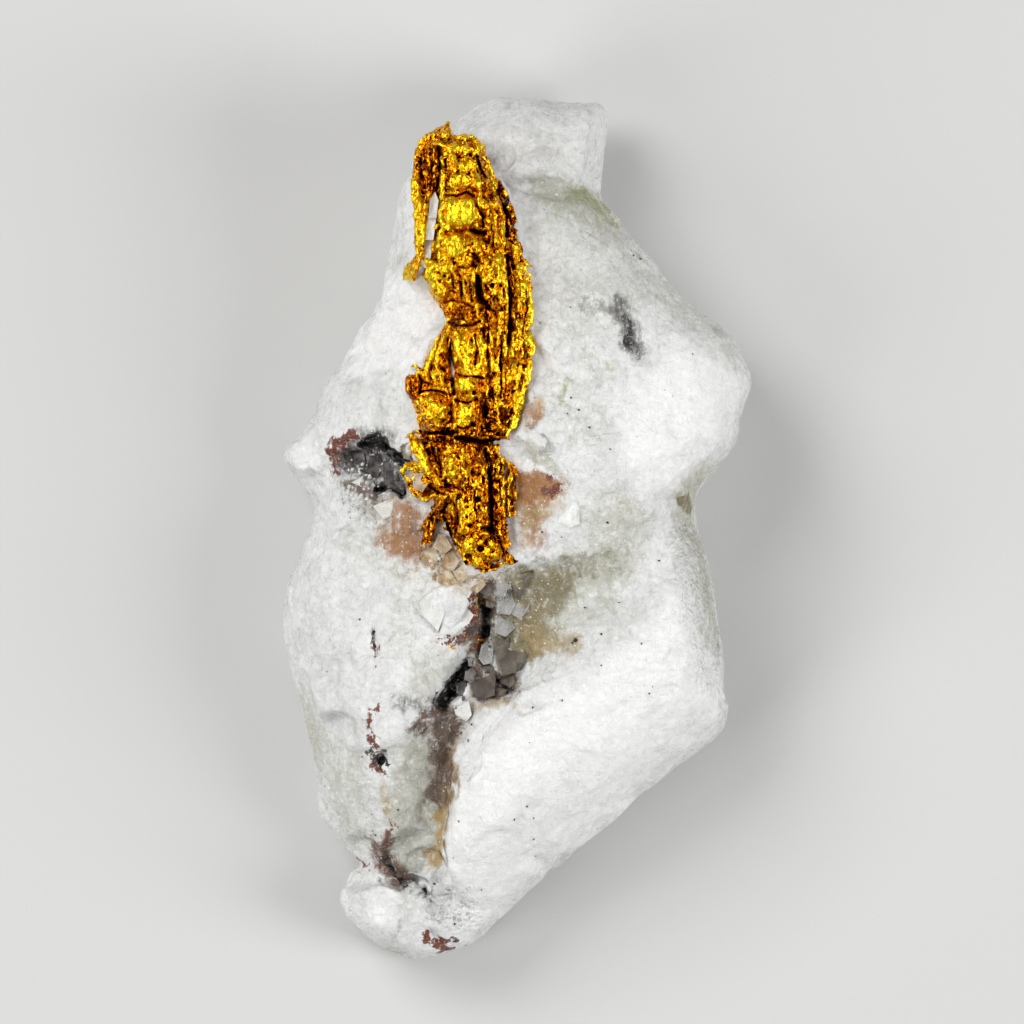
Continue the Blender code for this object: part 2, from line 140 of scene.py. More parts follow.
def warped(points, fine, broad):
    # the same points pushed about a little, so that what is laid on them gets a ragged edge
    moved = points.copy()
    for axis, seed in ((0, 11.0), (1, 17.0)):
        moved[:, axis] += noiseAt(points, 0.45, 2, seed) * fine + noiseAt(points, 1.8, 2, seed + 3) * broad
    return moved


def noiseAt(points, size, octaves=3, seed=0.0):
    shift = Vector((seed * 7.3, seed * 3.1, seed * 5.7))
    return np.array([
        noise.fractal(Vector(p) / size + shift, 0.9, 2.1, octaves) for p in points
    ])


def relaxed(points, edges, rounds):
    # every point moved to the middle of its neighbours, many times over
    count = len(points)
    degree = np.bincount(edges.ravel(), minlength=count)[:, None]
    for _ in range(rounds):
        total = np.zeros_like(points)
        for axis in range(3):
            total[:, axis] = (
                np.bincount(edges[:, 0], points[edges[:, 1], axis], count)
                + np.bincount(edges[:, 1], points[edges[:, 0], axis], count)
            )
        points = total / degree
    return points


def storeMask(piece, name, values):
    mask = piece.data.attributes.new(name, "FLOAT", "POINT")
    mask.data.foreach_set("value", np.clip(values, 0, 1).astype(np.float32))


# ---- node helpers

class Shader:
    def __init__(self, name):
        self.material = bpy.data.materials.new(name)
        self.material.use_nodes = True
        self.nodes = self.material.node_tree.nodes
        self.links = self.material.node_tree.links
        self.surface = self.nodes["Principled BSDF"]
        place = self.nodes.new("ShaderNodeTexCoord")
        self.place = place.outputs["Object"]

    def set(self, **values):
        for key, value in values.items():
            self.surface.inputs[key.replace("_", " ")].default_value = value

    def join(self, source, target):
        self.links.new(source, target)

    def noise(self, perMm, detail=4.0, rough=0.55, distort=0.0, stretch=(1, 1, 1), turn=0.0):
        mapping = self.nodes.new("ShaderNodeMapping")
        mapping.inputs["Scale"].default_value = [perMm / mm * s for s in stretch]
        mapping.inputs["Rotation"].default_value = (0, 0, turn)
        self.join(self.place, mapping.inputs["Vector"])
        texture = self.nodes.new("ShaderNodeTexNoise")
        texture.inputs["Scale"].default_value = 1.0
        texture.inputs["Detail"].default_value = detail
        texture.inputs["Roughness"].default_value = rough
        texture.inputs["Distortion"].default_value = distort
        self.join(mapping.outputs["Vector"], texture.inputs["Vector"])
        return texture.outputs["Fac"]

    def cells(self, perMm, feature="F1", output="Distance", stretch=(1, 1, 1)):
        mapping = self.nodes.new("ShaderNodeMapping")
        mapping.inputs["Scale"].default_value = [perMm / mm * s for s in stretch]
        self.join(self.place, mapping.inputs["Vector"])
        texture = self.nodes.new("ShaderNodeTexVoronoi")
        texture.feature = feature
        texture.inputs["Scale"].default_value = 1.0
        self.join(mapping.outputs["Vector"], texture.inputs["Vector"])
        return texture.outputs[output]

    def warp(self, perMm, push):
        # object coordinates pushed about by a noise, for ragged patterns
        mapping = self.nodes.new("ShaderNodeMapping")
        mapping.inputs["Scale"].default_value = [perMm / mm] * 3
        self.join(self.place, mapping.inputs["Vector"])
        texture = self.nodes.new("ShaderNodeTexNoise")
        texture.inputs["Scale"].default_value = 1.0
        texture.inputs["Detail"].default_value = 2.0
        self.join(mapping.outputs["Vector"], texture.inputs["Vector"])
        shift = self.nodes.new("ShaderNodeVectorMath")
        shift.operation = "MULTIPLY_ADD"
        self.join(texture.outputs["Color"], shift.inputs[0])
        shift.inputs[1].default_value = [push * mm] * 3
        self.join(self.place, shift.inputs[2])
        self.place = shift.outputs[0]

    def facets(self, colour, tilt, below=None):
        # every cell of a pattern leans its own way, like the faces of scales
        if below is None:
            below = self.nodes.new("ShaderNodeNewGeometry").outputs["Normal"]
        centre = self.nodes.new("ShaderNodeVectorMath")
        centre.operation = "SUBTRACT"
        self.join(colour, centre.inputs[0])
        centre.inputs[1].default_value = (0.5, 0.5, 0.5)
        lean = self.nodes.new("ShaderNodeVectorMath")
        lean.operation = "MULTIPLY_ADD"
        self.join(centre.outputs[0], lean.inputs[0])
        lean.inputs[1].default_value = (tilt, tilt, tilt)
        self.join(below, lean.inputs[2])
        even = self.nodes.new("ShaderNodeVectorMath")
        even.operation = "NORMALIZE"
        self.join(lean.outputs[0], even.inputs[0])
        return even.outputs[0]

    def mask(self, name):
        attribute = self.nodes.new("ShaderNodeAttribute")
        attribute.attribute_name = name
        return attribute.outputs["Fac"]

    def math(self, operation, first, second=0.5, third=None):
        node = self.nodes.new("ShaderNodeMath")
        node.operation = operation
        given = [first, second] if third is None else [first, second, third]
        for socket, value in zip(node.inputs, given):
            if isinstance(value, (int, float)):
                socket.default_value = value
            else:
                self.join(value, socket)
        return node.outputs[0]

    def spread(self, value, low, high, toLow=0.0, toHigh=1.0):
        node = self.nodes.new("ShaderNodeMapRange")
        node.interpolation_type = "SMOOTHSTEP"
        node.inputs["From Min"].default_value = low
        node.inputs["From Max"].default_value = high
        node.inputs["To Min"].default_value = toLow
        node.inputs["To Max"].default_value = toHigh
        self.join(value, node.inputs["Value"])
        return node.outputs["Result"]

    def blend(self, amount, first, second, kind="MIX"):
        node = self.nodes.new("ShaderNodeMix")
        node.data_type = "RGBA"
        node.blend_type = kind
        for socket, value in ((node.inputs[0], amount), (node.inputs[6], first), (node.inputs[7], second)):
            if isinstance(value, (int, float)):
                socket.default_value = value
            elif isinstance(value, tuple):
                socket.default_value = (*value, 1.0)
            else:
                self.join(value, socket)
        return node.outputs[2]

    def ramp(self, value, stops):
        node = self.nodes.new("ShaderNodeValToRGB")
        elements = node.color_ramp.elements
        while len(elements) < len(stops):
            elements.new(0.5)
        for element, (place, colour) in zip(elements, stops):
            element.position = place
            element.color = (*colour, 1.0)
        self.join(value, node.inputs["Fac"])
        return node.outputs["Color"]

    def bump(self, height, depth, strength=1.0, below=None):
        node = self.nodes.new("ShaderNodeBump")
        node.inputs["Strength"].default_value = strength
        node.inputs["Distance"].default_value = depth * mm
        self.join(height, node.inputs["Height"])
        if below is not None:
            self.join(below, node.inputs["Normal"])
        return node.outputs["Normal"]

    def wear(self, piece):
        piece.data.materials.clear()
        piece.data.materials.append(self.material)


# ---- milky quartz

quartzPlan = {
    "voxel": 0.12, "bedDrop": 1.3,
    "triangles": 192000,
    "softening": 4, "fullness": 0.13,
    "chips": 900, "chipSize": (0.5, 2.4), "chipDepth": (0.01, 0.10),
    "grit": 0.034, "gritSize": 0.6,
    "swell": 0.07, "swellSize": 1.8,
}

# each ledge: a line whose left side stands higher, its height, riser width and how far it fades
ledges = {
    "flangeEdge": ([(0.0, -7.5), (-1.4, -7.95), (-2.0, -8.6), (-2.3, -9.3), (-2.9, -10.2), (-3.05, -11.5),
                    (-3.2, -12.8), (-3.5, -14.0), (-3.7, -15.0), (-3.8, -15.6), (-4.1, -15.9), (-4.4, -16.3)],
                   0.9, 0.14, 1.1),
    "topStep": ([(-1.2, 16.9), (-0.5, 16.65), (-0.1, 16.35), (0.6, 15.9), (1.0, 16.1), (1.7, 16.15),
                 (2.3, 15.9), (2.6, 15.6), (3.4, 15.5), (3.9, 15.1)], -0.45, 0.07, 0.9),
    "skinEdge": ([(-9.8, -8.2), (-9.0, -8.7), (-8.6, -9.2), (-8.2, -9.8), (-7.9, -10.1), (-7.4, -10.2),
                  (-6.9, -10.15)], 0.28, 0.14, 0.9),
    "skinLine": ([(-6.1, -10.15), (-5.6, -9.95), (-5.3, -10.05), (-5.0, -9.9), (-4.4, -9.45),
                  (-3.9, -9.2), (-3.4, -8.8)], 0.24, 0.05, 0.8),
    "notchLine": ([(9.25, 2.85), (8.6, 2.45), (8.0, 2.0), (7.25, 1.35), (7.2, 0.6), (7.6, -0.4)],
                  -0.35, 0.08, 0.8),
    "wingCrack": ([(-9.5, 0.1), (-8.6, -0.5), (-8.2, 0.0), (-7.2, 0.55), (-6.3, 1.1)], 0.16, 0.06, 0.7),
    "blushEdge": ([(-6.3, -0.6), (-5.6, 0.2), (-4.9, 0.75), (-4.5, 0.1)], -0.10, 0.05, 0.5),
    "valleyEdge": ([(0.2, -1.8), (1.4, -1.55), (3.0, -1.35), (4.4, -1.1), (4.8, -1.8)], 0.22, 0.07, 0.8),
    "fanEdge": ([(3.0, 7.9), (2.5, 6.9), (2.25, 6.0), (2.6, 5.2)], 0.10, 0.06, 0.6),
    "smearEdge": ([(3.0, 10.3), (4.4, 10.5), (4.9, 10.7), (6.0, 10.9), (6.3, 11.7)], 0.14, 0.07, 0.8),
    "wingRidge": ([(-10.4, 4.0), (-9.4, 4.7), (-8.2, 5.2), (-7.0, 5.9)], -0.12, 0.10, 0.8),
    "rightFace": ([(7.1, 0.0), (7.3, -1.0), (7.4, -2.2), (7.8, -3.6), (8.2, -5.2), (8.7, -6.6)], -0.18,
                  0.16, 0.9),
    "tailFacet": ([(-3.6, -17.0), (-2.6, -16.9), (-1.9, -16.7)], 0.16, 0.06, 0.7),
    "lobeJoint": ([(-4.7, -17.4), (-5.0, -18.1), (-5.5, -19.0), (-5.9, -19.6)], 0.22, 0.06, 0.7),
}

# each groove: its line, its depth and its half width
grooves = {
    "upperCrevice": ([(-6.9, 3.95), (-6.2, 3.85), (-5.7, 3.5), (-5.3, 3.2), (-4.95, 2.95)], 0.9, 0.20),
    "lowerCrevice": ([(-6.35, 1.75), (-5.9, 1.8), (-5.5, 1.6), (-5.2, 1.5), (-5.05, 1.85)], 0.7, 0.15),
    "vugFloor": ([(-8.0, 3.4), (-7.3, 3.3), (-6.5, 3.2)], 0.35, 0.45),
    "crescent": ([(-2.3, -6.2), (-2.7, -6.8), (-3.0, -7.4), (-3.4, -8.0)], 0.8, 0.36),
    "seam": ([(-1.6, -2.8), (-1.7, -3.4), (-1.4, -4.0), (-1.5, -4.8), (-1.6, -5.6), (-1.3, -6.3)], 0.55,
             0.22),
    "forkLeft": ([(-1.1, -6.4), (-0.9, -6.9), (-0.5, -7.25), (-0.15, -7.4)], 0.30, 0.07),
    "forkRight": ([(-0.9, -6.95), (-0.5, -6.8), (-0.1, -6.7)], 0.18, 0.05),
    "leftSlit": ([(-6.55, -4.6), (-6.55, -5.0), (-6.45, -5.5), (-6.35, -5.75)], 0.30, 0.08),
    "holeCrack": ([(-6.6, -9.2), (-6.6, -10.2), (-6.3, -11.2)], 0.10, 0.10),
    "tailCrack": ([(-6.1, -15.1), (-5.7, -15.6), (-5.45, -16.2), (-5.1, -16.7)], 0.25, 0.07),
    "cheekCrack": ([(-4.35, -8.95), (-4.1, -8.75)], 0.10, 0.05),
    "wingSlit": ([(-8.3, 3.9), (-7.6, 3.95), (-7.0, 3.95)], 0.25, 0.08),
    "lobeSlit": ([(-6.3, -16.3), (-5.6, -16.6), (-5.0, -16.95), (-4.6, -17.1)], 0.30, 0.10),
    "lowSlit": ([(-3.9, -18.5), (-3.6, -19.0), (-3.3, -19.4)], 0.22, 0.10),
}

# each pit: centre, half length, half width, turn in degrees, depth
pits = {
    "blackHole": ((-6.2, -10.6), 0.35, 0.22, 80, 0.55),
    "headHollow": ((-1.35, -3.7), 0.40, 0.25, 75, 0.6),
    "midHollow": ((-1.35, -4.75), 0.30, 0.24, 80, 0.5),
    "blueHollow": ((-2.8, -7.5), 0.55, 0.35, 60, 0.5),
    "greyVug": ((-7.2, 3.3), 0.85, 0.42, 0, 0.35),
    "grainVug": ((-6.3, 2.5), 0.9, 0.6, 70, 0.25),
    "smearPit": ((5.2, 8.5), 0.30, 0.12, -55, 0.12),
}

# stains, and grey painted shade along valleys and slopes: kind, line, radius, strength
stainsAndShade = [
    ("soot", [(-6.9, 3.95), (-6.2, 3.85), (-5.7, 3.45), (-5.3, 3.15), (-4.9, 2.95)], 0.34, 1.0),
    ("soot", [(-6.4, 1.75), (-5.9, 1.8), (-5.5, 1.6), (-5.2, 1.5)], 0.24, 1.0),
    ("soot", [(-7.5, 3.5), (-6.6, 3.3)], 0.50, 0.62),
    ("smoke", [(-7.8, 3.3), (-6.8, 3.2), (-6.0, 2.6), (-5.5, 2.2)], 0.80, 0.9),
    ("smoke", [(-7.4, 4.3), (-6.4, 4.2), (-5.8, 4.1)], 0.50, 0.5),
    ("rust", [(-8.4, 3.4), (-8.2, 3.9), (-7.7, 4.1)], 0.42, 0.95),
    ("rust", [(-8.4, 3.2), (-8.3, 2.7)], 0.32, 0.8),
    ("rust", [(-7.2, 4.15), (-6.2, 4.1)], 0.20, 0.55),
    ("umber", [(-7.4, 2.0), (-6.8, 1.7), (-6.6, 1.4)], 0.40, 0.75),
    ("umber", [(-6.7, 2.4), (-6.2, 2.2)], 0.40, 0.5),
    ("blush", [(-5.0, 0.5), (-5.2, -0.2), (-5.8, -0.6), (-4.8, -0.6)], 0.95, 0.72),
    ("blush", [(-6.6, 0.9), (-5.6, 1.1)], 0.50, 0.35),
    ("honey", [(-4.6, -1.4), (-3.6, -1.6), (-2.9, -2.3), (-2.4, -2.6)], 0.50, 0.6),
    ("honey", [(-5.6, -1.9), (-4.4, -2.3)], 0.60, 0.3),
    ("rust", [(-3.4, -5.2), (-2.7, -4.9), (-2.1, -4.4), (-1.9, -3.6)], 0.20, 0.75),
    ("rust", [(-1.9, -3.0), (-1.9, -3.7), (-2.0, -4.3)], 0.22, 0.95),
    ("rust", [(-1.6, -5.0), (-1.8, -5.5)], 0.28, 0.95),
    ("soot", [(-1.5, -3.5), (-1.3, -3.9), (-1.4, -4.7)], 0.30, 1.0),
    ("umber", [(-1.2, -2.9), (-1.0, -3.3), (-1.8, -4.8), (-1.5, -5.9)], 0.50, 0.8),
    ("umber", [(-1.8, -6.7), (-1.4, -7.2), (-0.4, -7.0)], 0.75, 0.9),
    ("soot", [(-2.3, -6.2), (-2.7, -6.8), (-3.0, -7.4), (-3.4, -8.1)], 0.36, 1.0),
    ("soot", [(-1.1, -6.4), (-0.9, -6.9), (-0.4, -7.35), (-0.15, -7.4)], 0.13, 0.9),
    ("umber", [(-3.3, -8.3), (-3.4, -9.2), (-3.6, -10.2), (-3.5, -11.4), (-3.7, -12.6)], 0.62, 0.85),
    ("umber", [(-4.6, -9.4), (-3.9, -9.2)], 0.35, 0.75),
    ("rust", [(-4.4, -9.0), (-3.6, -8.4), (-3.9, -8.0)], 0.25, 0.45),
    ("smoke", [(-5.2, -8.1), (-4.2, -8.3), (-3.6, -8.6)], 0.50, 0.45),
    ("honey", [(-3.0, -10.2), (-3.1, -11.6), (-3.3, -13.0), (-3.6, -14.4), (-3.8, -15.4)], 0.34, 0.9),
    ("honey", [(-2.6, -9.3), (-3.0, -10.2)], 0.4, 0.5),
    ("soot", [(-6.55, -4.65), (-6.55, -5.0), (-6.48, -5.35)], 0.16, 1.0),
    ("rust", [(-6.5, -5.2), (-6.4, -5.8)], 0.20, 0.8),
    ("rust", [(-6.4, -6.4), (-6.4, -6.3)], 0.14, 0.6),
    ("rust", [(-6.4, -8.5), (-6.6, -9.2), (-6.4, -9.9)], 0.36, 0.85),
    ("rust", [(-6.5, -10.5), (-6.3, -11.2)], 0.45, 0.85),
    ("soot", [(-6.25, -10.45), (-6.2, -10.75)], 0.30, 1.0),
    ("soot", [(-6.7, -9.0), (-6.7, -10.1), (-6.3, -11.1)], 0.20, 0.70),
    ("honey", [(-6.2, -11.6), (-6.0, -12.6), (-5.9, -13.4)], 0.22, 0.55),
    ("rust", [(-5.8, -13.9), (-6.1, -14.5), (-6.3, -15.3), (-6.0, -16.0)], 0.40, 0.60),
    ("umber", [(-6.1, -14.7), (-5.8, -15.4), (-5.3, -16.3)], 0.55, 0.95),
    ("soot", [(-6.0, -14.9), (-5.7, -15.5), (-5.45, -16.1), (-5.1, -16.7)], 0.17, 0.95),
    ("rust", [(-7.6, -15.4), (-7.0, -15.6)], 0.15, 0.75),
    ("smoke", [(4.6, 10.3), (4.8, 9.6), (5.0, 8.9), (5.2, 8.3)], 0.62, 0.70),
    ("smoke", [(3.2, 10.1), (4.4, 10.2)], 0.50, 0.35),
    ("soot", [(4.8, 10.3), (4.7, 10.1)], 0.16, 0.8),
    ("soot", [(4.95, 9.5), (5.0, 9.0), (4.9, 8.7), (5.2, 8.2)], 0.26, 0.86),
    ("rust", [(1.3, 2.3), (1.5, 2.6)], 0.28, 0.65),
    ("rust", [(1.1, 1.7), (1.6, 1.7), (2.0, 1.9)], 0.26, 0.75),
    ("blush", [(0.3, 1.9), (1.0, 1.9), (1.6, 1.9)], 0.80, 0.75),
    ("blush", [(0.2, 0.9), (0.8, 0.3), (1.0, -0.6)], 0.85, 0.42),
    ("blush", [(0.7, 5.4), (1.0, 5.2), (0.5, 4.7)], 0.45, 0.65),
    ("olive", [(3.0, 15.4), (3.8, 15.0), (4.2, 14.4)], 0.55, 0.8),
    ("olive", [(1.4, 14.2), (1.6, 14.3)], 0.30, 0.35),
    ("olive", [(5.5, 12.5), (5.9, 12.3)], 0.25, 0.5),
    ("olive", [(2.3, 6.8), (2.15, 6.0), (2.4, 5.3)], 0.22, 0.6),
    ("olive", [(3.0, 7.9), (3.6, 7.6), (4.4, 7.2)], 0.50, 0.35),
    # grey lines: the real greenish translucent band at the top, and painted shade along the valley and on the
    # left slopes and lobes
    ("greyAndPaintedShade", [(1.2, 15.6), (2.4, 15.2), (3.6, 14.4), (4.6, 13.6)], 0.95, 0.85),
    ("greyAndPaintedShade", [(2.0, 14.4), (3.6, 13.0), (5.2, 12.0), (6.6, 11.2)], 0.90, 0.45),
    ("greyAndPaintedShade", [(7.0, 10.9), (8.0, 9.9), (9.6, 8.9), (10.4, 7.6)], 0.60, 0.55),
    ("greyAndPaintedShade", [(3.0, 9.6), (4.0, 9.2)], 0.90, 0.35),
    ("greyAndPaintedShade", [(8.8, 2.3), (8.0, 1.3), (8.0, 0.6)], 0.85, 1.0),
    ("greyAndPaintedShade", [(8.2, -0.4), (8.7, -1.8), (9.0, -3.2), (9.2, -5.0)], 0.50, 0.9),
    ("greyAndPaintedShade", [(0.0, -3.2), (1.6, -2.6), (3.2, -2.2), (4.6, -1.4)], 1.30, 0.9),
    ("greyAndPaintedShade", [(0.0, -5.4), (2.0, -4.6), (4.0, -3.4)], 0.90, 0.6),
    ("greyAndPaintedShade", [(4.0, 1.0), (5.6, 0.6)], 0.90, 0.45),
    ("honey", [(0.4, -5.9), (1.6, -5.6), (2.6, -5.2)], 0.60, 0.55),
    ("honey", [(0.0, -4.2), (1.2, -3.8)], 0.50, 0.35),
    ("honey", [(-2.0, -8.4), (-1.2, -8.1), (-0.4, -7.8)], 0.45, 0.6),
    ("greyAndPaintedShade", [(-7.8, -0.4), (-6.6, -1.4), (-5.4, -1.9), (-4.4, -2.2)], 0.90, 0.45),
    ("greyAndPaintedShade", [(-10.1, -7.6), (-9.6, -9.0), (-9.2, -10.6)], 0.60, 0.7),
    ("greyAndPaintedShade", [(-8.8, -11.0), (-7.6, -12.6), (-6.8, -14.4)], 1.50, 0.45),
    ("greyAndPaintedShade", [(-5.4, -11.0), (-5.0, -13.0), (-4.6, -15.4)], 1.20, 0.51),
    ("greyAndPaintedShade", [(-7.6, -18.2), (-6.6, -19.0), (-5.6, -18.4), (-4.7, -17.6)], 0.50, 0.21),
    ("olive", [(-4.7, -17.2), (-4.8, -17.8)], 0.25, 0.4),
    ("rust", [(-4.1, -18.7), (-3.7, -19.0), (-3.4, -19.3)], 0.34, 0.95),
    ("soot", [(-3.0, -18.95), (-2.7, -19.1)], 0.24, 0.62),
    ("honey", [(-5.7, -19.6), (-5.3, -19.8)], 0.20, 0.5),
]
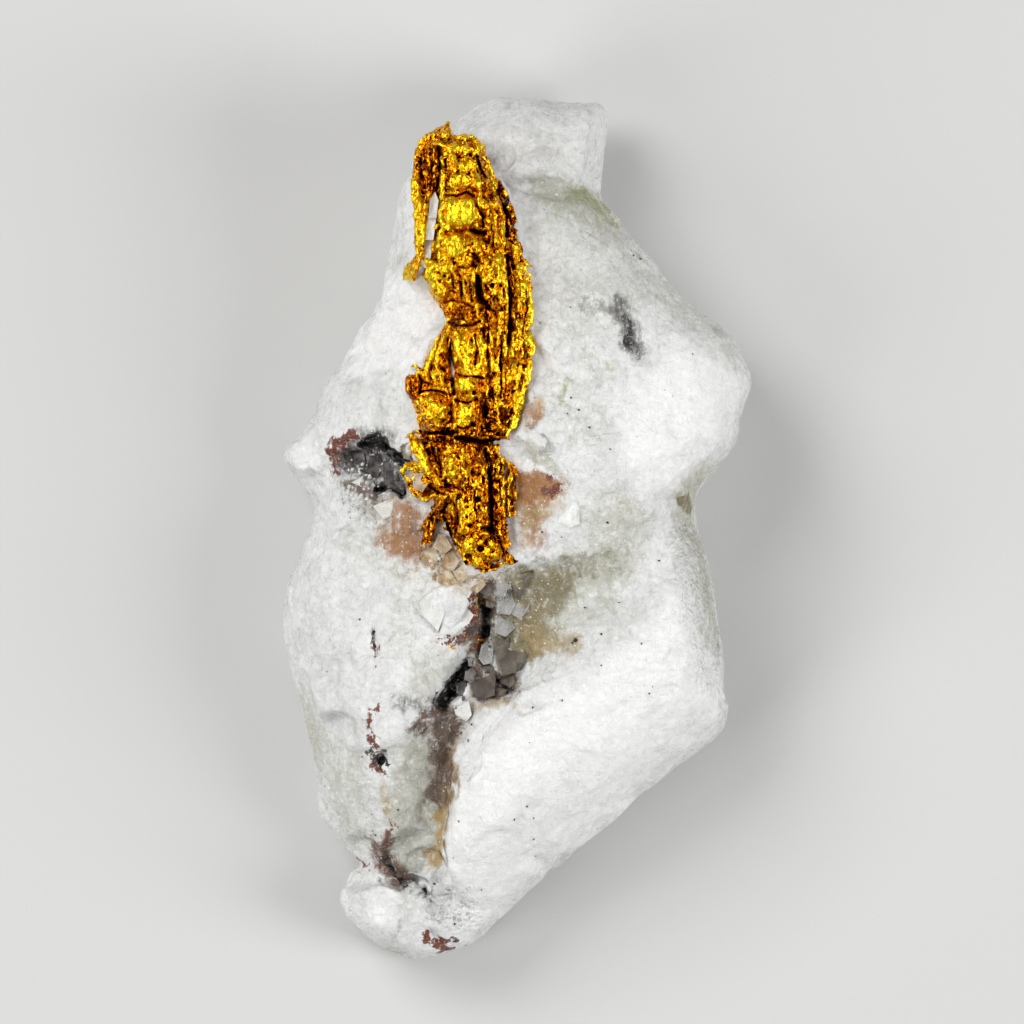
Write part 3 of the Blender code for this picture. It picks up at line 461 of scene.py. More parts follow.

# flat-lying patches of a different tint, some of them painted light on lit faces and painted shade in valleys
# and on rims: kind, outline, softness of the edge, strength, how proud
patches = [
    # pale patches: painted light on lit faces of the flange, the right bulge and the slopes
    ("paleAndPaintedLight", [(-2.0, -9.2), (0.0, -7.9), (3.0, -6.9), (6.0, -5.0), (7.4, -2.0), (8.6, -4.5), (9.5, -8.0),
                (4.7, -13.2), (1.5, -15.6), (-1.0, -17.8), (-3.4, -15.8), (-3.0, -12.0)], 1.0, 1.0, 0.0),
    ("paleAndPaintedLight", [(4.8, 2.8), (5.2, 6.5), (7.5, 8.6), (10.4, 7.4), (10.6, 6.0), (9.6, 3.8), (8.2, 2.5),
                (6.6, 2.0)], 1.3, 1.0, 0.0),
    ("paleAndPaintedLight", [(-6.0, 12.0), (-4.5, 11.2), (-3.5, 10.0), (-4.2, 8.0), (-5.2, 7.2), (-7.2, 7.0), (-8.0, 7.2),
                (-6.8, 9.8)], 0.7, 1.0, 0.0),
    ("paleAndPaintedLight", [(-10.8, 3.6), (-9.6, 4.4), (-9.0, 3.8), (-9.2, 2.6), (-10.0, 2.1)], 0.4, 0.8, 0.0),
    ("paleAndPaintedLight", [(1.0, 14.0), (3.0, 13.6), (5.4, 11.6), (3.4, 11.2), (1.4, 12.0)], 1.0, 0.5, 0.0),
    ("paleAndPaintedLight", [(-3.0, -17.5), (-2.0, -16.9), (-0.4, -17.2), (-1.2, -18.2), (-2.2, -18.6)], 0.4, 0.5, 0.0),
    ("paleAndPaintedLight", [(-5.6, -5.9), (-4.4, -6.4), (-4.6, -7.8), (-5.9, -8.2), (-6.3, -7.0)], 0.7, 0.45, 0.0),
    # grey patches: real translucent haze, and painted shade in the valley, on the left slopes and on the
    # lobe's rim
    ("greyAndPaintedShade", [(-2.0, 19.6), (0.5, 19.9), (3.8, 19.2), (3.6, 16.2), (1.0, 16.2), (-0.6, 16.8), (-2.0, 17.6)],
     0.8, 0.15, 0.0),
    ("greyAndPaintedShade", [(0.8, 16.0), (2.0, 16.05), (3.4, 15.4), (4.8, 14.3), (4.5, 13.6), (3.0, 14.5), (1.7, 14.5),
              (1.0, 15.2)], 0.35, 0.95, 0.0),
    ("greyAndPaintedShade", [(0.6, 15.0), (3.2, 14.0), (6.0, 12.2), (8.2, 10.9), (8.2, 10.0), (5.2, 9.6), (3.4, 8.0),
              (1.2, 8.4), (0.9, 11.0)], 1.3, 0.42, 0.0),
    ("greyAndPaintedShade", [(1.0, 7.4), (3.6, 7.6), (4.8, 5.6), (4.2, 3.6), (2.4, 3.4), (0.8, 4.8)], 1.0, 0.36, 0.0),
    ("greyAndPaintedShade", [(3.4, 1.8), (5.8, 2.0), (6.4, 0.4), (5.6, -1.4), (3.4, -1.0), (2.8, 0.4)], 0.8, 0.62, 0.0),
    ("greyAndPaintedShade", [(-0.6, -2.0), (1.0, -1.6), (4.4, -0.9), (4.8, -1.9), (3.2, -3.0), (2.2, -4.4), (3.0, -5.2),
              (0.8, -6.2), (-0.4, -7.0), (-1.0, -5.0)], 0.6, 0.9, 0.0),
    # dark olive patches: a real grey-yellow tint with painted shade, darkening the valley
    ("darkOliveAndPaintedShade", [(-0.3, -2.1), (0.9, -1.9), (0.5, -2.7), (0.1, -3.4), (-0.25, -2.8)], 0.12, 0.75, 0.02),
    ("darkOliveAndPaintedShade", [(0.15, -3.1), (0.9, -2.2), (2.2, -2.2), (2.5, -2.6), (1.5, -3.3), (0.3, -4.0)], 0.14, 0.50,
     0.05),
    ("darkOliveAndPaintedShade", [(2.5, -1.5), (4.3, -0.9), (4.85, -1.8), (3.6, -2.4), (2.7, -2.2)], 0.15, 0.35, 0.04),
    ("greyAndPaintedShade", [(-5.4, -10.1), (-3.4, -9.1), (-3.1, -11.5), (-3.5, -14.2), (-4.4, -16.4), (-5.4, -16.2),
              (-6.2, -14.5), (-6.0, -12.0)], 0.35, 0.75, 0.0),
    ("greyAndPaintedShade", [(-9.6, -8.6), (-8.2, -9.9), (-6.9, -10.1), (-6.6, -12.5), (-6.4, -15.2), (-7.6, -14.9),
              (-8.7, -13.0)], 0.5, 0.56, 0.0),
    # painted shade and dark olive tint over the valley floor
    ("darkOliveAndPaintedShade", [(-0.9, -2.2), (1.2, -1.7), (2.8, -1.8), (2.6, -3.2), (1.6, -4.6), (2.2, -5.4), (0.6, -6.2),
               (-0.5, -6.9), (-0.9, -5.0)], 0.7, 0.74, 0.0),
    ("honey", [(0.2, -4.4), (2.2, -4.7), (2.8, -5.2), (1.2, -5.9), (0.4, -6.3)], 0.35, 0.45, 0.0),
    ("honey", [(3.4, 1.8), (5.6, 1.8), (6.0, 0.6), (4.8, -0.9), (3.4, -0.8)], 0.7, 0.18, 0.0),
    ("greyAndPaintedShade", [(-5.6, -2.4), (-4.2, -4.6), (-4.6, -6.6), (-5.8, -5.4), (-6.2, -3.4)], 0.6, 0.38, 0.0),
    ("soot", [(-7.6, 3.85), (-6.9, 4.02), (-6.2, 3.9), (-5.7, 3.75), (-5.3, 3.4), (-4.9, 3.15), (-4.85, 2.9),
              (-5.3, 2.9), (-5.75, 3.25), (-6.2, 3.5), (-6.6, 3.6), (-7.1, 3.65)], 0.07, 1.0, -0.15),
    ("soot", [(-6.5, 1.85), (-6.2, 1.55), (-5.9, 1.8), (-5.5, 1.6), (-5.3, 1.35), (-5.0, 1.45), (-5.0, 1.75),
              (-5.3, 1.75), (-5.5, 1.95), (-6.0, 2.05)], 0.07, 1.0, -0.15),
    ("soot", [(-2.25, -6.0), (-2.0, -6.5), (-2.3, -7.3), (-2.8, -7.9), (-3.4, -8.5), (-3.7, -8.1),
              (-3.4, -7.4),
              (-2.9, -6.7), (-2.45, -6.35)], 0.08, 1.0, -0.30),
    ("soot", [(-1.7, -3.3), (-1.25, -3.3), (-1.1, -3.8), (-1.2, -4.25), (-1.6, -4.1)], 0.07, 1.0, -0.2),
    ("soot", [(-1.65, -4.5), (-1.2, -4.4), (-1.1, -4.9), (-1.5, -5.05)], 0.07, 1.0, -0.15),
    ("darkOliveAndPaintedShade", [(-2.3, -4.4), (-1.0, -2.6), (-0.95, -4.6), (-1.2, -6.2), (-2.2, -5.9), (-2.6, -5.2)], 0.25,
     0.55, 0.0),
    ("greyAndPaintedShade", [(-5.0, -6.2), (-3.6, -5.3), (-2.4, -5.6), (-3.0, -6.8), (-4.0, -8.2), (-5.0, -7.8)], 0.4,
     0.55, 0.0),
    ("greyAndPaintedShade", [(7.25, 1.3), (7.9, 2.0), (8.6, 2.4), (9.1, 2.85), (8.9, 2.3), (8.5, 1.5), (8.1, 0.3),
              (8.0, 0.55),
              (7.6, 0.8)], 0.08, 1.0, 0.0),
    # painted shade on the lower step of the notch, with its grey tint
    ("darkOliveAndPaintedShade", [(7.25, 1.3), (7.9, 1.6), (8.15, 0.9), (8.0, 0.55), (7.6, 0.8)], 0.06, 0.8, -0.04),
    ("greyAndPaintedShade", [(7.3, 0.4), (7.9, -0.6), (8.6, -2.2), (9.0, -4.0), (9.4, -6.4), (8.6, -5.0), (7.8, -2.4)],
     0.5, 0.60, 0.0),
    ("peach", [(0.0, 3.2), (0.8, 2.9), (1.7, 2.6), (2.2, 2.0), (2.1, 1.0), (1.4, 0.1), (0.9, -0.9),
               (0.2, -1.2),
               (-0.2, 0.0)], 0.35, 0.55, 0.07),
    ("blush", [(-0.1, 2.6), (0.9, 2.8), (1.7, 2.3), (2.0, 1.7), (1.4, 1.1), (0.2, 1.0)], 0.45, 1.0, 0.0),
    ("honey", [(-0.1, 1.6), (0.9, 2.2), (1.8, 1.4), (1.3, 0.0), (0.6, -0.9), (0.0, 0.2)], 0.60, 0.55, 0.0),
    ("rust", [(1.2, 2.7), (1.7, 2.5), (1.6, 2.1), (1.2, 2.1)], 0.22, 0.75, 0.0),
    ("rust", [(0.9, 1.8), (1.5, 1.9), (2.1, 2.0), (2.1, 1.5), (1.2, 1.4)], 0.20, 0.80, 0.0),
    ("blush", [(0.3, 5.6), (0.7, 5.8), (0.75, 5.0), (0.5, 4.4), (0.15, 4.8)], 0.10, 0.50, 0.04),
    ("peach", [(0.75, 5.8), (1.0, 6.1), (1.4, 5.7), (1.1, 5.0), (0.8, 5.0)], 0.10, 0.65, 0.06),
    ("greyAndPaintedShade", [(0.5, 4.3), (1.5, 3.6), (2.1, 2.8), (2.4, 2.0), (1.9, 2.3), (1.2, 3.0), (0.2, 3.4)], 0.15,
     0.7, 0.04),
    # pale patch: the real white of a milky grain
    ("paleAndPaintedLight", [(2.0, 0.4), (2.6, 1.2), (2.9, 1.0), (2.9, 0.2), (2.4, 0.0)], 0.08, 0.9, 0.05),
    ("blush", [(-4.9, 0.6), (-4.4, 0.1), (-4.5, -1.0), (-5.6, -1.0), (-6.4, -0.9), (-5.5, 0.1)], 0.35, 0.72,
     0.05),
    ("honey", [(-4.8, 0.7), (-4.4, 0.1), (-4.4, -1.1), (-5.6, -1.2), (-6.3, -0.8), (-5.7, 0.2)], 0.5, 0.45,
     0.0),
    ("umber", [(-5.0, 0.7), (-4.5, 0.3), (-4.4, -0.4), (-4.9, -0.2)], 0.16, 0.45, 0.0),
    ("umber", [(-8.0, 2.2), (-7.2, 2.3), (-6.7, 1.8), (-7.0, 1.4), (-7.8, 1.6)], 0.25, 0.50, 0.0),
    ("greyAndPaintedShade", [(-7.0, 1.2), (-5.4, 1.3), (-5.2, 0.5), (-6.0, -0.3), (-7.4, 0.2)], 0.35, 0.60, 0.0),
    ("smoke", [(-7.95, 3.7), (-6.2, 3.75), (-5.9, 2.9), (-6.3, 2.3), (-7.2, 2.7), (-7.9, 2.9)], 0.18, 0.72,
     -0.10),
    ("umber", [(-1.85, -2.3), (-1.1, -2.3), (-1.0, -3.4), (-1.2, -5.2), (-1.6, -6.2), (-2.1, -5.6),
               (-1.7, -4.4),
               (-1.8, -3.4)], 0.12, 0.85, -0.06),
    ("umber", [(-4.3, -8.6), (-3.4, -8.2), (-2.7, -8.6), (-2.9, -10.0), (-3.05, -11.4), (-3.5, -12.6),
               (-4.1, -11.4), (-3.7, -10.0)], 0.35, 0.85, 0.0),
    ("honey", [(-2.9, -9.9), (-2.3, -9.0), (-1.8, -8.3), (-2.4, -8.4), (-3.0, -9.2)], 0.2, 0.55, 0.0),
    ("umber", [(-6.5, -14.2), (-5.6, -14.4), (-5.2, -15.8), (-5.0, -16.6), (-5.6, -16.3), (-6.4, -15.6)],
     0.30, 0.80, 0.0),
    # painted shade on the rim of the rounded lobe
    ("greyAndPaintedShade", [(-7.9, -18.0), (-6.5, -17.0), (-5.2, -17.2), (-5.0, -18.2), (-5.8, -19.4), (-7.0, -19.2)],
     0.5, 0.21, 0.0),
    # painted light on the middle of the rounded lobe
    ("paleAndPaintedLight", [(-7.2, -17.9), (-6.2, -17.3), (-5.4, -17.9), (-5.9, -18.9), (-6.8, -18.7)], 0.5, 0.8, 0.0),
]

# colours of the stains and patches; the pale kind is partly painted light, and the grey and dark olive kinds
# are partly painted shade
stainLightAndShadeColours = {
    # pale kind: painted light on lit faces, and the real white of a few grains
    "paleAndPaintedLight": (0.97, 0.97, 0.96),
    # grey kind: real greenish translucent haze, and painted shade in valleys and on rims
    "greyAndPaintedShade": (0.52, 0.52, 0.435),
    # dark olive kind: a real grey-yellow tint, and painted shade in the valley and at the notch
    "darkOliveAndPaintedShade": (0.20, 0.165, 0.075),
    "peach": (0.60, 0.40, 0.19),
    "honey": (0.44, 0.29, 0.09),
    "olive": (0.33, 0.34, 0.12),
    "blush": (0.38, 0.165, 0.045),
    "umber": (0.135, 0.078, 0.045),
    "smoke": (0.085, 0.072, 0.066),
    "rust": (0.17, 0.030, 0.005),
    "soot": (0.006, 0.004, 0.004),
}


def carveLines(points, lift):
    ragged = warped(points, 0.10, 0.10)
    for line, height, riser, fade in ledges.values():
        distance, side = lineDistance(ragged, line)
        step = np.tanh(distance * side / riser) * np.exp(-distance / fade)
        lift += 0.5 * height * step
    for line, depth, half in grooves.values():
        distance, _ = lineDistance(ragged, line)
        lift -= depth * np.exp(-((distance / half) ** 2))
    for _, ring, soft, _, proud in patches:
        if proud:
            lift += proud * smoothStep(-0.06, 0.06, insidePatch(ragged, ring))
    for (x, y), length, width, turn, depth in pits.values():
        c, s = math.cos(math.radians(turn)), math.sin(math.radians(turn))
        dx, dy = points[:, 0] - x, points[:, 1] - y
        reach = np.hypot((dx * c + dy * s) / length, (dy * c - dx * s) / width)
        lift -= depth * (1 - smoothStep(0.5, 1.15, reach))


def chipSurface(piece, plan, seed):
    # flat and hollow flakes broken off all over, with crisp rims
    points = readPoints(piece)
    normals = readNormals(piece)
    tree = KDTree(len(points))
    for index, place in enumerate(points):
        tree.insert(place, index)
    tree.balance()
    draw = random.Random(seed)
    for _ in range(plan["chips"]):
        index = draw.randrange(len(points))
        size = plan["chipSize"][0] + (plan["chipSize"][1] - plan["chipSize"][0]) * draw.random() ** 2
        depth = draw.uniform(*plan["chipDepth"]) * min(1.0, size)
        near = [hit[1] for hit in tree.find_range(points[index], size)]
        if len(near) < 6:
            continue
        lean = Vector([draw.gauss(0, 0.10) for _ in range(3)])
        facing = (Vector(normals[near].mean(0)) + lean).normalized()
        facing = np.array(facing)
        heights = (points[near] - points[index]) @ facing
        gap = np.linalg.norm(points[near] - points[index], axis=1) / size
        if (gap < 0.6).sum() < 3:
            continue
        level = np.percentile(heights[gap < 0.6], 70) - depth
        bowl = draw.uniform(-0.03, 0.10) * size
        cut = heights - (level + bowl * gap ** 2)
        moved = np.where(cut > 0, cut, 0) * (1 - smoothStep(0.75, 1.0, gap))
        points[near] -= moved[:, None] * facing
    writePoints(piece, points)


def makeQuartz():
    quartz = copyOfNode("quartz_mass", "milkyQuartz")
    bed = copyOfNode("gold_growth", "goldBed")  # fills the trough right up under the metal
    bedPoints = readPoints(bed)
    bedPoints[:, 2] -= quartzPlan["bedDrop"]
    writePoints(bed, bedPoints)
    pickOnly(quartz)
    bed.select_set(True)
    bpy.ops.object.join()
    applyModifier(quartz, "REMESH", mode="VOXEL", voxel_size=quartzPlan["voxel"] * mm)
    points = readPoints(quartz)
    edges = readEdges(quartz)
    points = relaxed(points, edges, quartzPlan["softening"])
    writePoints(quartz, points)
    writePoints(quartz, points + readNormals(quartz) * quartzPlan["fullness"])
    print("quartz: skin of", len(points), "points")

    chipSurface(quartz, quartzPlan, 7)
    points = readPoints(quartz)
    normals = readNormals(quartz)
    front = smoothStep(0.15, 0.5, normals[:, 2])
    lift = np.zeros(len(points))
    carveLines(points, lift)
    wide = noiseAt(points, quartzPlan["swellSize"], 2, 1.0) * quartzPlan["swell"]
    fine = noiseAt(points, quartzPlan["gritSize"], 4, 2.0) * quartzPlan["grit"]
    points += normals * (wide + fine)[:, None]
    points[:, 2] += lift * front
    points[:, 2] = np.maximum(points[:, 2], 0.0)
    writePoints(quartz, points)

    blurred = warped(points, 0.30, 0.35)
    crisp = warped(points, 0.12, 0.10)
    # one mask per kind: stains and tints, with the painted light and painted shade of the pale, grey and dark
    # olive kinds
    for kind in stainLightAndShadeColours:
        amount = np.zeros(len(points))
        for name, line, radius, strength in stainsAndShade:
            if name == kind:
                distance, _ = lineDistance(blurred, line)
                amount = np.maximum(amount, strength * (1 - smoothStep(0.0, 1.7, distance / radius)))
        for name, ring, soft, strength, _ in patches:
            if name == kind:
                depth = insidePatch(crisp if soft < 0.3 else blurred, ring)
                amount = np.maximum(amount, strength * smoothStep(-soft, soft, depth))
        storeMask(quartz, kind, amount * smoothStep(-0.1, 0.25, normals[:, 2]))
    sugar = np.zeros(len(points))
    for line, radius in sugarPlaces:
        distance, _ = lineDistance(points, line)
        sugar = np.maximum(sugar, 1 - smoothStep(0.5, 1.2, distance / radius))
    storeMask(quartz, "sugar", sugar)

    share = quartzPlan["triangles"] / (2 * len(quartz.data.polygons))
    if share < 1:
        applyModifier(quartz, "DECIMATE", ratio=share)
    pickOnly(quartz)
    bpy.ops.object.shade_smooth()
    print("quartz: finished with", len(quartz.data.polygons), "faces")
    return quartz


sugarPlaces = [
    ([(7.8, -0.6), (8.2, -2.6), (8.7, -5.0), (9.1, -6.8)], 1.0),
    ([(-4.3, -1.0), (-3.4, -0.8), (-3.0, -1.8)], 0.8),
    ([(-7.8, 2.6), (-7.4, 1.4), (-6.6, 0.6)], 0.9),
    ([(-0.6, -3.0), (-0.6, -4.6)], 0.5),
    ([(-3.6, -17.6), (-2.4, -17.8)], 1.0),
]


def quartzMaterial():
    look = Shader("milkyQuartzFinish")
    look.warp(1.2, 0.35)
    mottle = look.noise(0.40, 6, 0.62, 0.4)
    cloud = look.noise(1.1, 5, 0.65, 0.3)
    grain = look.noise(3.2, 6, 0.72, 0.6)
    streak = look.noise(2.6, 5, 0.68, 0.2, (1, 0.20, 1), math.radians(-40))
    fleck = look.noise(8.0, 3, 0.65)
    colour = look.ramp(mottle, [(0.30, (0.66, 0.67, 0.645)), (0.50, (0.80, 0.805, 0.79)),
                                (0.70, (0.91, 0.91, 0.90))])
    colour = look.blend(look.spread(cloud, 0.42, 0.70, 0.0, 0.5), colour, (0.93, 0.93, 0.92))
    colour = look.blend(look.spread(streak, 0.50, 0.66, 0.0, 0.40), colour, (0.58, 0.585, 0.56))
    # stains and tints, and the painted light and painted shade of the pale, grey and dark olive kinds
    for kind, tint in stainLightAndShadeColours.items():
        amount = look.mask(kind)
        if kind in ("soot", "rust"):
            ragged = look.math("MULTIPLY_ADD", look.math("SUBTRACT", streak, 0.5), 1.6, amount)
            ragged = look.math("MULTIPLY_ADD", look.math("SUBTRACT", grain, 0.5), 2.0, ragged)
            amount = look.math("MULTIPLY", look.spread(ragged, 0.50, 0.66), look.spread(amount, 0.02, 0.20))
        elif kind in ("umber", "smoke", "blush", "darkOliveAndPaintedShade"):
            ragged = look.math("MULTIPLY_ADD", look.math("SUBTRACT", streak, 0.5), 1.3, amount)
            ragged = look.math("MULTIPLY_ADD", look.math("SUBTRACT", grain, 0.5), 1.1, ragged)
            amount = look.math("MULTIPLY", look.spread(ragged, 0.02, 0.85), look.spread(amount, 0.0, 0.40))
        else:
            ragged = look.math("MULTIPLY_ADD", look.math("SUBTRACT", cloud, 0.5), 0.9, amount)
            ragged = look.math("MULTIPLY_ADD", look.math("SUBTRACT", grain, 0.5), 1.2, ragged)
            amount = look.math("MULTIPLY", look.spread(ragged, 0.10, 1.0), look.spread(amount, 0.0, 0.30))
        colour = look.blend(amount, colour, tint)
    # hackly shade, healed cracks, pale glints and grey pin-specks
    # less hackly shade and fewer pale flecks where the pale painted light lies
    calm = look.spread(look.mask("paleAndPaintedLight"), 0.2, 1.0, 1.0, 0.38)
    hackle = look.math("MULTIPLY", look.spread(grain, 0.50, 0.72), calm)
    colour = look.blend(look.math("MULTIPLY", hackle, 0.50), colour, (0.42, 0.42, 0.39))
    pale = look.math("MULTIPLY", look.spread(grain, 0.47, 0.30), calm)
    colour = look.blend(look.math("MULTIPLY", pale, 0.45), colour, (0.97, 0.97, 0.96))
    sparkle = look.math("MULTIPLY", look.spread(look.cells(3.8), 0.12, 0.20, 1.0, 0.0),
                        look.spread(grain, 0.47, 0.55))
    colour = look.blend(look.math("MULTIPLY", sparkle, 0.85), colour, (0.98, 0.98, 0.97))
    specks = look.math("MULTIPLY", look.spread(look.cells(2.6), 0.055, 0.085, 1.0, 0.0),
                       look.spread(cloud, 0.52, 0.60))
    colour = look.blend(look.math("MULTIPLY", specks, 0.6), colour, (0.18, 0.18, 0.15))
    look.join(colour, look.surface.inputs["Base Color"])
    sugarDepth = look.math("MULTIPLY", look.cells(4.5), look.mask("sugar"))
    normal = look.facets(look.cells(0.8, "F1", "Color"), 0.15)
    normal = look.facets(look.cells(2.6, "F1", "Color"), 0.26, normal)
    normal = look.bump(streak, 0.10, 0.7, normal)
    normal = look.bump(cloud, 0.12, 0.6, normal)
    normal = look.bump(grain, 0.13, 0.9, normal)
    normal = look.bump(sugarDepth, 0.16, 0.9, normal)
    normal = look.bump(fleck, 0.04, 0.8, normal)
    look.join(normal, look.surface.inputs["Normal"])
    rough = look.spread(cloud, 0.3, 0.7, 0.18, 0.40)
    look.join(rough, look.surface.inputs["Roughness"])
    look.set(IOR=1.544, Subsurface_Weight=0.15, Subsurface_Scale=0.3 * mm)
    look.surface.inputs["Subsurface Radius"].default_value = (1.0, 0.97, 0.92)
    return look


# ---- native gold

goldPlan = {
    "voxel": 0.055, "triangles": 190000, "coreShrink": 0.50, "bedStep": 0.09, "bedDrop": 0.42,
    "bedDepth": 1.6,
    "chips": 3600, "chipSize": (0.10, 0.45), "chipDepth": (0.01, 0.05),
    "grit": 0.022, "gritSize": 0.15, "hackle": 0.07, "hackleSize": 0.45, "split": 4.05,
    "cleftDepth": 0.62, "cleftWander": (0.05, 0.05),
}

# the bundle's middle, top and half width at each height along it
goldCrest = {
    "y": [-2.2, -1.5, 0.0, 2.0, 4.0, 6.0, 8.0, 10.0, 12.0, 14.0, 16.0, 17.5, 18.6],
    "middle": [-1.4, -1.6, -1.9, -2.1, -2.4, -2.2, -1.7, -1.3, -1.8, -2.3, -2.7, -3.0, -3.3],
    "top": [9.9, 10.6, 11.1, 11.5, 11.4, 11.9, 12.1, 12.2, 12.45, 12.5, 12.3, 11.9, 11.2],
    "half": [1.0, 1.5, 2.0, 2.4, 2.4, 2.7, 2.6, 2.2, 2.6, 2.4, 2.1, 1.7, 1.0],
}

